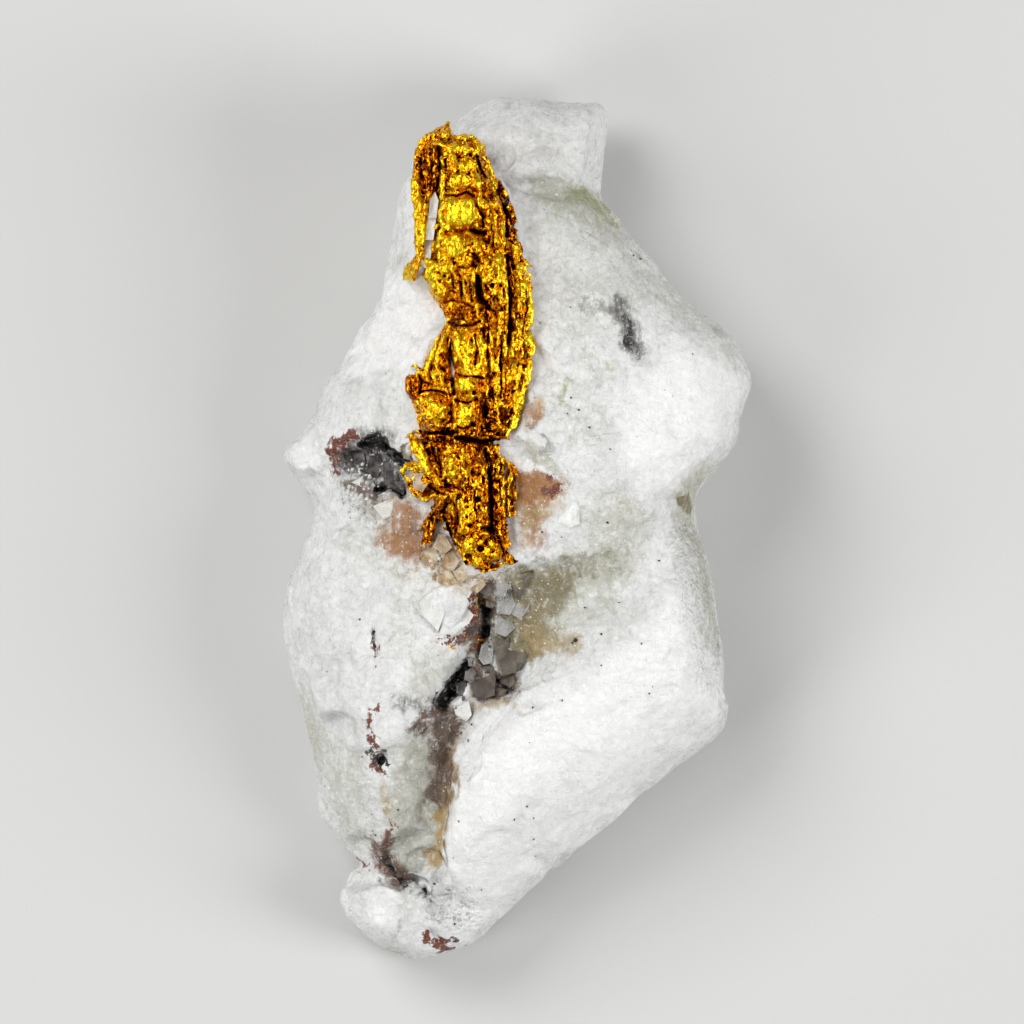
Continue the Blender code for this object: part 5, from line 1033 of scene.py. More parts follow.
# the metal's outline seen from above: the body with the lower growth, then the arm
goldOutlines = [
    [(-3.75, 18.35), (-3.1, 18.55), (-2.9, 18.0), (-2.4, 18.15), (-1.9, 18.0), (-1.6, 17.8), (-1.35, 17.5),
     (-1.4, 17.2), (-1.3, 16.7), (-1.1, 16.3), (-0.7, 15.95), (-0.5, 15.6), (-0.25, 15.2), (-0.2, 14.8),
     (0.05, 14.3), (0.0, 13.9), (0.2, 13.4), (0.35, 12.9), (0.45, 12.3), (0.8, 12.0), (0.6, 11.7),
     (0.75, 11.2),
     (0.8, 10.0), (0.8, 9.3), (0.9, 9.0), (0.85, 7.7), (0.6, 7.2), (0.5, 6.5), (0.3, 5.8), (0.1, 5.2),
     (-0.1, 4.7), (-0.3, 4.2), (-0.5, 3.9), (-0.6, 3.7), (-0.3, 3.3), (-0.05, 2.9), (0.15, 2.5), (0.1, 2.2),
     (0.0, 1.5), (0.0, 0.9), (-0.05, 0.5), (-0.15, 0.0), (-0.2, -0.3), (0.0, -0.5), (-0.1, -0.8),
     (-0.1, -1.15),
     (0.2, -1.5), (0.0, -1.65), (-0.4, -1.7), (-0.7, -1.9), (-1.5, -2.1), (-1.9, -2.1), (-2.2, -1.9),
     (-2.4, -1.6),
     (-2.6, -1.2), (-3.1, -0.6), (-3.3, -0.2), (-3.5, 0.0), (-3.8, -0.3), (-4.0, -0.8), (-4.5, -1.3),
     (-4.4, -0.5),
     (-4.3, 0.0), (-4.2, 0.4), (-3.9, 0.6), (-3.5, 1.0), (-3.9, 1.15), (-4.4, 1.5), (-4.9, 2.1), (-5.35, 2.6),
     (-5.0, 2.85), (-4.4, 3.0), (-4.6, 3.7), (-5.1, 4.15), (-4.4, 4.35), (-4.5, 4.6), (-4.65, 5.3),
     (-4.9, 5.9),
     (-5.15, 6.2), (-5.15, 6.7), (-5.0, 7.0), (-4.75, 7.4), (-4.3, 7.5), (-4.2, 7.9), (-3.9, 8.3),
     (-3.5, 9.0),
     (-3.1, 9.5), (-3.4, 10.0), (-3.9, 10.6), (-4.1, 11.1), (-4.35, 11.6), (-4.02, 12.2), (-3.9, 12.8),
     (-3.78, 13.8), (-3.58, 14.9), (-3.62, 15.2), (-4.2, 17.9)],
    [(-3.75, 18.2), (-3.6, 17.0), (-3.78, 15.2), (-3.92, 14.9), (-4.08, 13.8), (-4.24, 12.6), (-4.4, 12.0),
     (-4.6, 11.4), (-5.0, 11.35), (-5.3, 11.45), (-5.0, 12.1), (-4.6, 12.5), (-4.65, 13.5), (-4.5, 13.9),
     (-4.7, 15.0), (-4.8, 16.3), (-4.6, 17.1), (-4.1, 17.9)],
]


def makeBed(outline, bedding):
    # solid metal under the ropes and lumps, so that nothing shows between them
    low, high = np.min(outline, 0), np.max(outline, 0)
    step = goldPlan["bedStep"]
    counts = np.ceil((high - low) / step).astype(int)
    middle = (low + high) / 2
    bpy.ops.mesh.primitive_grid_add(x_subdivisions=int(counts[0]), y_subdivisions=int(counts[1]),
                                    size=1.0 * mm,
                                    location=(0, 0, 0))
    bed = bpy.context.object
    points = readPoints(bed) * ([*(high - low), 1.0]) + [*middle, 0.0]
    inside = insidePatch(points, outline)
    edge = smoothStep(0.0, 0.5, inside)
    for index in np.nonzero(inside > 0)[0]:
        x, y = points[index, :2]
        top = goldHeight(x, y) - goldPlan["bedDrop"]
        points[index, 2] = max(top, bedding(x, y) + 0.12) - 0.30 * (1 - edge[index])
    writePoints(bed, points)
    pickOnly(bed)
    bpy.ops.object.mode_set(mode="EDIT")
    bpy.ops.mesh.select_all(action="DESELECT")
    bpy.ops.object.mode_set(mode="OBJECT")
    for vertex, depth in zip(bed.data.vertices, inside):
        vertex.select = bool(depth <= 0)
    bpy.ops.object.mode_set(mode="EDIT")
    bpy.ops.mesh.delete(type="VERT")
    bpy.ops.mesh.select_all(action="SELECT")
    bpy.ops.mesh.extrude_region_move(TRANSFORM_OT_translate={"value": (0, 0, -goldPlan["bedDepth"] * mm)})
    bpy.ops.mesh.select_all(action="SELECT")
    bpy.ops.mesh.normals_make_consistent(inside=False)
    bpy.ops.object.mode_set(mode="OBJECT")
    return bed


def goldHeight(x, y):
    middle, top, half = (np.interp(y, goldCrest["y"], goldCrest[key]) for key in ("middle", "top", "half"))
    return float(top - 1.7 * ((x - middle) / half) ** 2)


def makeSection(ridges, depth):
    # the rope's cross-section: a closed ring with ridges
    bpy.ops.curve.primitive_bezier_circle_add(radius=1.0)
    ring = bpy.context.object
    ring.data.splines.clear()
    spline = ring.data.splines.new("POLY")
    count = ridges * 4
    spline.points.add(count - 1)
    for index, point in enumerate(spline.points):
        angle = 2 * math.pi * index / count
        reach = mm * (1 - depth * (0.5 - 0.5 * math.cos(angle * ridges)))
        point.co = (reach * math.cos(angle), reach * math.sin(angle), 0, 1)
    spline.use_cyclic_u = True
    ring.data.dimensions = "2D"
    return ring


def addRope(line, thickness, proud, bedding, sections, draw):
    bpy.ops.curve.primitive_bezier_curve_add()
    rope = bpy.context.object
    rope.data.splines.clear()
    spline = rope.data.splines.new("BEZIER")
    spline.bezier_points.add(len(line) - 1)
    for index, ((x, y), point) in enumerate(zip(line, spline.bezier_points)):
        share = index / (len(line) - 1)
        radius = float(np.interp(share, (0, 0.5, 1), thickness)) * draw.uniform(0.9, 1.12)
        base = max(goldHeight(x, y), bedding(x, y) + 0.35 * radius)
        point.co = Vector((x, y, base + proud - 0.45 * radius)) * mm
        point.radius = radius
        point.tilt = draw.uniform(-0.5, 0.5)
        point.handle_left_type = point.handle_right_type = "AUTO"
    rope.data.resolution_u = 7
    rope.data.dimensions = "3D"
    rope.data.bevel_mode = "OBJECT"
    rope.data.bevel_object = draw.choice(sections)
    rope.data.use_fill_caps = True
    return rope


def addLump(place, width, length, turn, square, proud, bedding, draw):
    bpy.ops.mesh.primitive_ico_sphere_add(subdivisions=4, radius=1.0)
    lump = bpy.context.object
    ball = readPoints(lump) * mm
    ball = np.sign(ball) * np.abs(ball) ** square
    ball *= (1 + 0.05 * noiseAt(ball + draw.uniform(-9, 9), 0.9, 2))[:, None]
    c, s = math.cos(math.radians(turn)), math.sin(math.radians(turn))
    x, y = ball[:, 0] * width, ball[:, 1] * length
    deep = min(width, length) * 0.95
    base = max(goldHeight(*place), bedding(*place) + 0.3 * deep) + proud - 0.55 * deep
    shape = np.stack([place[0] + x * c - y * s, place[1] + x * s + y * c, base + ball[:, 2] * deep], 1)
    writePoints(lump, shape)
    return lump


def makeGold(quartz):
    plan = goldPlan
    draw = random.Random(21)
    tree = BVHTree.FromObject(quartz, bpy.context.evaluated_depsgraph_get())

    def bedding(x, y):
        hit = tree.ray_cast(Vector((x, y, 20)) * mm, Vector((0, 0, -1)))
        return hit[0].z / mm if hit[0] else 0.0

    core = copyOfNode("gold_growth", "goldCore")
    core.data.materials.clear()
    writePoints(core, readPoints(core) - readNormals(core) * plan["coreShrink"])
    clearSelection()
    sections = [makeSection(5, 0.30), makeSection(4, 0.24), makeSection(7, 0.26)]
    bits = []
    for line, thickness, proud in ropes:
        bits.append(addRope(line, thickness, proud, bedding, sections, draw))
    clearSelection()
    for rope in bits:
        rope.select_set(True)
    bpy.context.view_layer.objects.active = bits[0]
    bpy.ops.object.convert(target="MESH")
    for ring in sections:
        bpy.data.objects.remove(ring)
    for outline in goldOutlines:
        bits.append(makeBed(outline, bedding))
    for lump in lumps:
        bits.append(addLump(*lump, bedding, draw))
    # grains crowding the waist
    for _ in range(70):
        place = (draw.uniform(-4.2, -0.6), draw.gauss(4.15, 0.35))
        size = draw.uniform(0.09, 0.19)
        bits.append(addLump(place, size, size * draw.uniform(0.7, 1.3), draw.uniform(0, 180), 0.8,
                            draw.uniform(-0.25, 0.02), bedding, draw))
    pickOnly(core)
    for bit in bits:
        bit.select_set(True)
    bpy.ops.object.join()
    print("gold:", len(bits), "ropes, lumps and grains joined")

    applyModifier(core, "REMESH", mode="VOXEL", voxel_size=plan["voxel"] * mm)
    points = relaxed(readPoints(core), readEdges(core), 1)
    writePoints(core, points)
    chipSurface(core, plan, 5)
    points = readPoints(core)
    normals = readNormals(core)
    front = smoothStep(0.05, 0.4, normals[:, 2])
    lift = np.zeros(len(points))
    wandering = warped(points, *plan["cleftWander"])
    for line, depth, half in clefts:
        distance, _ = lineDistance(wandering, line)
        lift -= plan["cleftDepth"] * depth * np.exp(-((distance / (0.85 * half)) ** 2))
    for (x, y), radius, depth in holes:
        reach = np.hypot(points[:, 0] - x, points[:, 1] - y) / radius
        lift -= plan["cleftDepth"] * depth * (1 - smoothStep(0.55, 1.15, reach))
    long = points * (1.0, 0.3, 1.0)
    points += normals * (noiseAt(points, plan["gritSize"], 3, 3.0) * plan["grit"]
                         + noiseAt(long, plan["gritSize"], 2, 5.0) * plan["grit"]
                         + noiseAt(points, plan["hackleSize"], 2, 4.0) * plan["hackle"])[:, None]
    points[:, 2] += lift * front
    # the tallest knobs kept inside the size
    points[:, 2] -= 0.4 * np.maximum(points[:, 2] - 12.5, 0)
    writePoints(core, points)

    # how deep each spot lies between its neighbours, at a fine and a broad scale, giving painted shade in the
    # hollows and a painted highlight on the ridges
    edges = readEdges(core)
    normals = readNormals(core)
    close = relaxed(points, edges, 2)
    near = relaxed(close, edges, 8)
    far = relaxed(near, edges, 40)
    pore = ((close - points) * normals).sum(1)
    fine = ((near - points) * normals).sum(1)
    broad = ((far - points) * normals).sum(1)
    hollowShade = (smoothStep(0.002, 0.018, pore) * 0.45 + smoothStep(0.0, 0.06, fine) * 0.5
              + smoothStep(0.02, 0.20, broad) * 0.6)
    ridgeHighlight = smoothStep(0.0, 0.016, -pore) * 0.6 + smoothStep(0.0, 0.06, -fine) * 0.5
    # painted highlights along ridges and painted shade along grooves, from the listed places
    tone = np.zeros(len(points))
    for strength, line, radius in goldHighlightsAndShade:
        distance, _ = lineDistance(points, line)
        tone += strength * (1 - smoothStep(0.5, 1.5, distance / radius))
    storeMask(core, "hollowShade", hollowShade)
    storeMask(core, "ridgeHighlight", ridgeHighlight)
    storeMask(core, "tone", 0.5 + 0.5 * np.clip(tone, -1, 1))
    print("gold: sculpted,", len(points), "points")
    return core


def goldMaterial():
    look = Shader("nativeGoldFinish")
    look.warp(5.0, 0.16)
    long = (1, 0.45, 1)
    scales = look.cells(5.0, "DISTANCE_TO_EDGE", "Distance", long)
    lean = look.cells(5.0, "F1", "Color", long)
    grit = look.noise(8.0, 4, 0.66, 0.8, (1, 0.50, 1), 0.12)
    flake = look.noise(15.0, 3, 0.62, 0.8)
    cloud = look.noise(1.3, 4, 0.6, 0.5)
    streak = look.noise(7.0, 3, 0.6, 0.3, (1, 0.14, 1), 0.10)
    # painted shade: dark lines along the grooves between the scales
    line = look.math("MULTIPLY", look.spread(scales, 0.015, 0.12, 1.0, 0.0),
                     look.spread(cloud, 0.36, 0.52, 0.25, 1.0))
    shade = look.nodes.new("ShaderNodeSeparateColor")
    look.join(lean, shade.inputs[0])
    value = look.math("MULTIPLY_ADD", look.math("SUBTRACT", grit, 0.5), 1.9, 0.70)
    value = look.math("MULTIPLY_ADD", look.math("SUBTRACT", flake, 0.5), 1.6, value)
    value = look.math("MULTIPLY_ADD", look.math("SUBTRACT", streak, 0.5), 1.6, value)
    value = look.math("MULTIPLY_ADD", look.math("SUBTRACT", cloud, 0.5), 0.7, value)
    value = look.math("MULTIPLY_ADD", look.math("SUBTRACT", shade.outputs[0], 0.5), 0.22, value)
    # painted highlights and painted shade from the listed places
    value = look.math("MULTIPLY_ADD", look.math("SUBTRACT", look.mask("tone"), 0.5), 0.75, value)
    # painted highlight on ridges
    value = look.math("MULTIPLY_ADD", look.mask("ridgeHighlight"), 0.20, value)
    value = look.math("MULTIPLY_ADD", line, -0.46, value)
    # painted shade in hollows and clefts
    value = look.math("MULTIPLY_ADD", look.mask("hollowShade"), -0.85, value)
    colour = look.ramp(value, [
        (0.00, (0.012, 0.0025, 0.0005)), (0.16, (0.13, 0.015, 0.0008)), (0.32, (0.50, 0.080, 0.001)),
        (0.48, (0.97, 0.25, 0.002)), (0.68, (1.0, 0.45, 0.003)), (0.92, (1.0, 0.78, 0.025)),
    ])
    look.join(colour, look.surface.inputs["Base Color"])
    look.join(look.spread(flake, 0.3, 0.7, 0.20, 0.40), look.surface.inputs["Roughness"])
    normal = look.facets(lean, 0.75)
    normal = look.bump(streak, 0.03, 0.5, normal)
    normal = look.bump(scales, 0.05, 0.5, normal)
    normal = look.bump(grit, 0.03, 0.7, normal)
    look.join(normal, look.surface.inputs["Normal"])
    look.set(Metallic=1.0)
    return look


def splitGold(gold):
    # parted at the dark waist, each half closed where it meets the other
    halves = []
    for name, keepAbove in (("goldUpper", True), ("goldLower", False)):
        half = gold.copy()
        half.data = gold.data.copy()
        half.name = half.data.name = name
        bpy.context.scene.collection.objects.link(half)
        pickOnly(half)
        bpy.ops.object.mode_set(mode="EDIT")
        bpy.ops.mesh.select_all(action="SELECT")
        bpy.ops.mesh.bisect(plane_co=(0, goldPlan["split"] * mm, 0), plane_no=(0, 1, 0), use_fill=True,
                            clear_inner=keepAbove, clear_outer=not keepAbove)
        bpy.ops.object.mode_set(mode="OBJECT")
        half.data.calc_loop_triangles()
        share = goldPlan["triangles"] / len(half.data.loop_triangles)
        if share < 1:
            applyModifier(half, "DECIMATE", ratio=share)
        pickOnly(half)
        bpy.ops.object.shade_smooth()
        halves.append(half)
        print("gold:", name, "has", len(half.data.polygons), "faces")
    bpy.data.objects.remove(gold)
    return halves


# ---- small crystals and specks

# flat-topped crystals: outline, how proud, lean of the top towards x and y
clearCrystals = [
    ([(-0.95, -2.3), (-0.5, -2.15), (-0.35, -2.7), (-0.6, -3.3), (-0.9, -3.1)], 0.16, (0.2, -0.1)),
    ([(-0.9, -3.2), (-0.3, -2.8), (-0.05, -3.5), (-0.3, -4.0), (-0.9, -3.9)], 0.20, (-0.1, 0.1)),
    ([(-0.95, -4.0), (-0.3, -4.1), (-0.05, -4.6), (-0.5, -5.0), (-1.0, -4.8)], 0.16, (0.1, 0.15)),
    ([(-1.6, -5.4), (-1.3, -5.15), (-1.05, -5.3), (-1.1, -6.2), (-1.5, -6.3), (-1.75, -6.0)], 0.22,
     (0.2, 0.1)),
    ([(-2.25, -6.0), (-1.9, -5.95), (-1.8, -6.4), (-2.2, -6.35)], 0.18, (0.0, 0.2)),
    ([(-5.35, 3.75), (-4.95, 3.95), (-4.6, 3.5), (-4.8, 3.1), (-5.2, 3.2)], 0.18, (-0.2, 0.2)),
    ([(-0.3, -3.9), (0.05, -3.3), (0.5, -3.0), (0.6, -3.6), (0.2, -4.2)], 0.07, (0.1, 0.0)),
    ([(0.9, 4.4), (1.4, 4.2), (1.7, 3.5), (1.2, 3.3), (0.8, 3.8)], 0.06, (0.1, 0.1)),
]
milkCrystals = [
    ([(-4.6, -3.35), (-4.1, -2.95), (-3.5, -2.65), (-2.95, -3.0), (-3.3, -3.9), (-3.6, -4.75), (-4.4, -3.95)],
     0.16, (-0.06, 0.05)),
    ([(-2.92, -3.0), (-2.4, -3.5), (-1.95, -4.0), (-2.2, -4.4), (-2.9, -4.9), (-3.55, -4.85), (-3.26, -3.95)],
     0.20, (0.10, -0.05)),
    ([(2.0, 0.4), (2.6, 1.2), (2.9, 1.0), (2.9, 0.2), (2.4, 0.0)], 0.05, (0.10, 0.1)),
    ([(-2.9, -8.2), (-2.2, -7.95), (-2.05, -8.6), (-2.3, -8.9), (-2.8, -8.6)], 0.22, (0.1, -0.1)),
    ([(-6.6, 1.0), (-5.7, 1.35), (-5.3, 1.2), (-5.4, 0.7), (-6.1, 0.4)], 0.08, (0.1, 0.1)),
    ([(-7.6, 2.1), (-6.9, 2.5), (-6.6, 2.2), (-6.9, 1.8)], 0.10, (0.1, -0.1)),
]
smokyCrystals = [
    ([(-1.0, -5.0), (-0.3, -5.2), (0.0, -5.0), (0.5, -5.8), (0.1, -6.6), (-0.7, -6.8), (-0.95, -6.2)], 0.12,
     (0.05, 0.1)),
    ([(-1.9, -6.6), (-1.5, -6.35), (-1.1, -6.3), (-0.95, -6.9), (-1.0, -7.7), (-1.4, -7.85), (-1.9, -7.8),
      (-2.1, -7.3)], 0.22, (0.05, 0.1)),
    ([(-0.75, -7.0), (-0.1, -6.7), (0.0, -7.2), (-0.3, -7.35), (-0.7, -7.15)], 0.12, (0.1, 0.1)),
    ([(-0.95, -7.3), (-0.4, -7.45), (-0.8, -7.8), (-1.0, -7.7)], 0.08, (0.1, 0.0)),
    ([(-1.4, -3.3), (-1.1, -3.15), (-0.9, -3.5), (-1.1, -3.7), (-1.4, -3.6)], 0.26, (0.1, 0.1)),
    ([(-2.3, -4.4), (-1.95, -4.2), (-1.75, -4.6), (-1.9, -4.95), (-2.25, -4.85)], 0.15, (0.1, 0.1)),
    ([(-0.35, -2.2), (0.8, -1.95), (0.45, -2.7), (0.1, -3.3), (-0.15, -2.8)], 0.06, (0.05, 0.05)),
    ([(-1.7, -2.45), (-1.2, -2.35), (-1.05, -2.9), (-1.4, -3.1), (-1.7, -2.9)], 0.16, (0.1, 0.1)),
]
vugCrystals = [
    ([(-5.75, 3.35), (-5.35, 3.0), (-5.4, 2.6), (-5.05, 2.0), (-5.2, 1.55), (-5.6, 1.8), (-6.05, 2.0),
      (-6.15, 2.9)],
     0.30, (0.15, 0.1)),
    ([(-6.85, 3.35), (-6.3, 3.4), (-6.15, 2.8), (-6.4, 2.35), (-6.9, 2.6)], 0.20, (0.1, -0.2)),
    ([(-7.6, 3.45), (-7.05, 3.5), (-6.95, 2.95), (-7.5, 2.85)], 0.12, (-0.1, 0.1)),
    ([(-2.35, -6.6), (-2.0, -6.4), (-1.85, -6.7), (-2.0, -7.1), (-2.4, -7.0)], 0.50, (0.1, 0.1)),
    ([(-2.8, -7.2), (-2.4, -7.0), (-2.2, -7.4), (-2.5, -7.8), (-2.75, -7.6)], 0.50, (-0.1, 0.1)),
]
creamCrystals = [
    ([(-3.6, -0.25), (-3.25, -0.35), (-2.95, -0.9), (-3.3, -1.2), (-3.85, -0.85)], 0.30, (0.2, -0.2)),
    ([(-4.25, -0.95), (-3.8, -0.85), (-3.5, -1.35), (-3.9, -1.8), (-4.5, -1.4)], 0.25, (-0.2, 0.1)),
    ([(-3.4, -1.2), (-2.95, -0.95), (-2.6, -1.5), (-2.9, -2.0), (-3.4, -1.8)], 0.28, (0.1, -0.2)),
    ([(-2.9, -2.0), (-2.5, -1.7), (-2.2, -2.2), (-2.6, -2.6)], 0.16, (0.1, -0.1)),
    ([(-3.6, -2.1), (-3.1, -1.9), (-2.7, -2.5), (-3.2, -2.7), (-3.6, -2.5)], 0.14, (-0.1, -0.1)),
    ([(-2.1, -2.2), (-1.6, -2.2), (-1.4, -2.6), (-1.8, -3.0), (-2.2, -2.7)], 0.15, (0.1, -0.1)),
    ([(-4.7, 2.5), (-4.25, 2.55), (-4.05, 2.05), (-4.3, 1.65), (-4.75, 1.85)], 0.95, (0.1, -0.2)),
]

# scattered angular grains: middle, spread in x and y, how many, size range, how proud
rubble = {
    "creamCrystals": [((-3.6, -1.2), 0.55, 0.50, 46, (0.08, 0.22), 0.12),
                      ((-2.4, -2.3), 0.45, 0.22, 20, (0.06, 0.14), 0.08),
                      ((-4.9, 3.5), 0.30, 0.20, 10, (0.08, 0.16), 0.10),
                      ((-1.2, -2.3), 0.50, 0.12, 16, (0.05, 0.12), 0.08)],
    "milkCrystals": [((-7.0, 2.9), 0.50, 0.30, 34, (0.05, 0.13), 0.14),
                     ((-3.4, -1.3), 0.50, 0.45, 26, (0.06, 0.16), 0.16),
                     ((-7.2, 1.7), 0.50, 0.40, 26, (0.06, 0.15), 0.05),
                     ((-2.6, -7.2), 0.25, 0.35, 8, (0.05, 0.10), 0.3)],
    "vugCrystals": [((-6.9, 3.1), 0.50, 0.26, 44, (0.08, 0.22), 0.05),
                    ((-5.7, 2.3), 0.25, 0.35, 12, (0.07, 0.15), 0.15),
                    ((-2.9, -7.6), 0.28, 0.40, 18, (0.07, 0.16), 0.10)],
    "smokyCrystals": [((-1.4, -3.8), 0.22, 0.60, 22, (0.06, 0.15), 0.05),
                      ((-1.5, -5.4), 0.28, 0.50, 20, (0.06, 0.15), 0.05),
                      ((-1.4, -7.0), 0.50, 0.40, 14, (0.06, 0.14), 0.08),
                      ((-3.3, -9.0), 0.35, 0.60, 18, (0.05, 0.12), 0.02)],
    "clearCrystals": [((-0.6, -3.6), 0.22, 0.75, 30, (0.07, 0.18), 0.08),
                      ((1.8, -1.6), 0.90, 0.22, 22, (0.05, 0.14), 0.03),
                      ((-6.7, 2.7), 0.30, 0.25, 12, (0.05, 0.10), 0.15),
                      ((-7.4, 1.2), 0.50, 0.35, 22, (0.06, 0.15), 0.02),
                      ((0.6, 4.9), 0.30, 0.50, 14, (0.06, 0.14), 0.05),
                      ((-2.9, -17.8), 0.50, 0.45, 22, (0.06, 0.15), 0.02)],
}

darkSpecks = [
    (1.1, 9.4), (8.1, 8.0), (2.5, 5.98), (2.87, 5.43), (2.35, 5.25), (3.35, 4.62), (4.3, 3.62), (4.18, 0.25),
    (1.18, -0.18), (6.55, -1.5), (4.72, -3.42), (3.15, -3.65), (3.9, -4.87), (5.75, -5.3), (3.9, -6.3),
    (6.1, -7.6),
    (2.1, -7.9), (0.75, -8.25), (-2.05, -9.05), (-0.1, -13.4), (0.5, -12.8), (0.8, -13.35), (-2.65, -13.5),
    (0.8, -14.35), (0.9, -15.15), (-3.8, -16.45), (-1.6, -16.7), (-2.85, -18.3), (-6.5, -14.2),
    (-5.45, -13.0),
    (-7.1, -10.55), (-7.2, -4.2), (5.4, 12.55), (5.7, 12.4),
]
goldSpecks = [
    (-1.72, -3.1, 0.15), (-1.62, -3.35, 0.10), (-1.82, -3.65, 0.08), (-1.86, -3.9, 0.06),
    (-1.68, -5.15, 0.12),
    (-1.6, -5.4, 0.09), (-1.8, -4.95, 0.07), (-3.0, -5.4, 0.09), (-2.88, -5.52, 0.06), (-3.62, -5.25, 0.05),
    (-1.42, -7.85, 0.07), (-2.0, -7.75, 0.06), (-1.5, -5.6, 0.05), (-2.4, -4.95, 0.05),
]


def heightOver(tree):
    def heightAt(x, y):
        hit = tree.ray_cast(Vector((x, y, 20)) * mm, Vector((0, 0, -1)))
        return hit[0].z / mm if hit[0] else 0.0
    return heightAt


def addCrystal(outline, proud, lean, heightAt, draw):
    # the outline drawn up out of the rock, its rim inset and its top leaning a little
    bpy.ops.mesh.primitive_circle_add(vertices=len(outline), radius=mm, fill_type="NGON")
    crystal = bpy.context.object
    ground = [heightAt(x, y) for x, y in outline]
    base = float(np.mean(ground))
    writePoints(crystal, np.array([(x, y, min(ground) - 0.35) for x, y in outline]))
    pickOnly(crystal)
    bpy.ops.object.mode_set(mode="EDIT")
    bpy.ops.mesh.select_all(action="SELECT")
    rise = base + proud - min(ground) + 0.35
    bpy.ops.mesh.extrude_region_move(TRANSFORM_OT_translate={"value": (0, 0, rise * mm)})
    bpy.ops.mesh.inset(thickness=draw.uniform(0.05, 0.10) * mm, depth=draw.uniform(0.03, 0.07) * mm)
    bpy.ops.mesh.poke(offset=draw.uniform(0.00, 0.05) * mm)
    bpy.ops.mesh.select_all(action="SELECT")
    bpy.ops.mesh.normals_make_consistent(inside=False)
    bpy.ops.object.mode_set(mode="OBJECT")
    shape = readPoints(crystal)
    top = shape[:, 2] > base + proud - 0.01
    middle = np.mean(outline, 0)
    slope = (shape[:, 0] - middle[0]) * lean[0] + (shape[:, 1] - middle[1]) * lean[1]
    shape[top, 2] += slope[top] + np.array([draw.uniform(-0.03, 0.03) for _ in range(top.sum())])
    writePoints(crystal, shape)
    return crystal


def addGrain(x, y, size, proud, heightAt, draw, rough=0.35):
    # a broken angular grain half sunk in the rock
    bpy.ops.mesh.primitive_ico_sphere_add(subdivisions=1, radius=1.0)
    grain = bpy.context.object
    shape = readPoints(grain) * mm
    for index in range(len(shape)):
        shape[index] *= 1 + draw.uniform(-rough, rough)
    turn = Matrix.Rotation(draw.uniform(0, 6.28), 3, "Z") @ Matrix.Rotation(draw.uniform(0, 3.14), 3, "X")
    shape = shape * (size, size * draw.uniform(0.6, 1.1), size * 0.8) @ np.array(turn)
    shape += (x, y, heightAt(x, y) + proud - 0.3 * size)
    writePoints(grain, shape)
    return grain


def joinAs(name, bits):
    pickOnly(bits[0])
    for bit in bits:
        bit.select_set(True)
    bpy.ops.object.join()
    whole = bpy.context.object
    whole.name = whole.data.name = name
    return whole


slitFill = [  # pale quartz seen between the gold arm and the gold body
    [(-3.96, 15.0), (-3.72, 15.4), (-3.56, 15.0), (-3.66, 14.2), (-4.04, 14.2)],
    [(-4.04, 14.3), (-3.66, 14.3), (-3.80, 13.2), (-4.16, 13.2)],
    [(-4.16, 13.3), (-3.80, 13.3), (-3.96, 12.2), (-4.20, 11.9), (-4.36, 12.2)],
]


def makeCrystals(name, outlines, heightAt, seed):
    draw = random.Random(seed)
    bits = [addCrystal(outline, proud, lean, heightAt, draw) for outline, proud, lean in outlines]
    if name == "milkCrystals":
        for outline in slitFill:
            ground = np.mean([heightAt(x, y) for x, y in outline])
            lift = goldHeight(*np.mean(outline, 0)) - 0.22 - ground
            bits.append(addCrystal(outline, lift, (0.0, 0.0), heightAt, draw))
    for (x, y), wide, tall, count, sizes, proud in rubble[name]:
        for _ in range(count):
            place = (draw.gauss(x, wide), draw.gauss(y, tall))
            bits.append(addGrain(*place, draw.uniform(*sizes), draw.uniform(-0.03, proud), heightAt, draw))
    whole = joinAs(name, bits)
    pickOnly(whole)
    bpy.ops.object.shade_flat()
    print("crystals:", name, "has", len(bits))
    return whole


def makeSpecks(heightAt):
    draw = random.Random(31)
    bits = [addGrain(x, y, draw.uniform(0.045, 0.075), 0.03, heightAt, draw) for x, y in darkSpecks]
    bits.append(addGrain(2.72, -5.15, 0.13, 0.05, heightAt, draw))
    bits.append(addGrain(2.58, -5.28, 0.07, 0.04, heightAt, draw))
    for _ in range(110):
        x, y = draw.uniform(-9.5, 9.5), draw.uniform(-18.5, 18.0)
        size = draw.uniform(0.018, 0.036)
        if heightAt(x, y) > 3.0 and not -5.6 < x < 1.2 or y < -3 and heightAt(x, y) > 3.0:
            bits.append(addGrain(x, y, size, 0.01, heightAt, draw))
    return joinAs("darkSpecks", bits)


def makeGoldSpecks(heightAt):
    draw = random.Random(41)
    bits = []
    for x, y, size in goldSpecks:
        for _ in range(4):
            bits.append(addGrain(draw.gauss(x, size * 0.5), draw.gauss(y, size * 0.5),
                                 size * draw.uniform(0.4, 0.8),
                                 0.06, heightAt, draw))
    whole = joinAs("goldSpecks", bits)
    count = len(whole.data.vertices)
    storeMask(whole, "tone", np.array([draw.uniform(0.1, 0.9) for _ in range(count)]))
    return whole


def crystalMaterial(name, light, dark, see, rough):
    look = Shader(name)
    look.warp(1.5, 0.2)
    cloud = look.noise(1.6, 4, 0.6, 0.4)
    fine = look.noise(6.0, 4, 0.65, 0.3)
    colour = look.blend(look.spread(cloud, 0.35, 0.65), light, dark)
    colour = look.blend(look.spread(fine, 0.52, 0.75, 0.0, 0.5), colour, tuple(0.5 * c for c in dark))
    look.join(colour, look.surface.inputs["Base Color"])
    look.join(look.spread(fine, 0.3, 0.7, rough, rough + 0.2), look.surface.inputs["Roughness"])
    normal = look.bump(cloud, 0.06, 0.5)
    look.join(look.bump(fine, 0.03, 0.6, normal), look.surface.inputs["Normal"])
    look.set(IOR=1.544, Transmission_Weight=see)
    return look


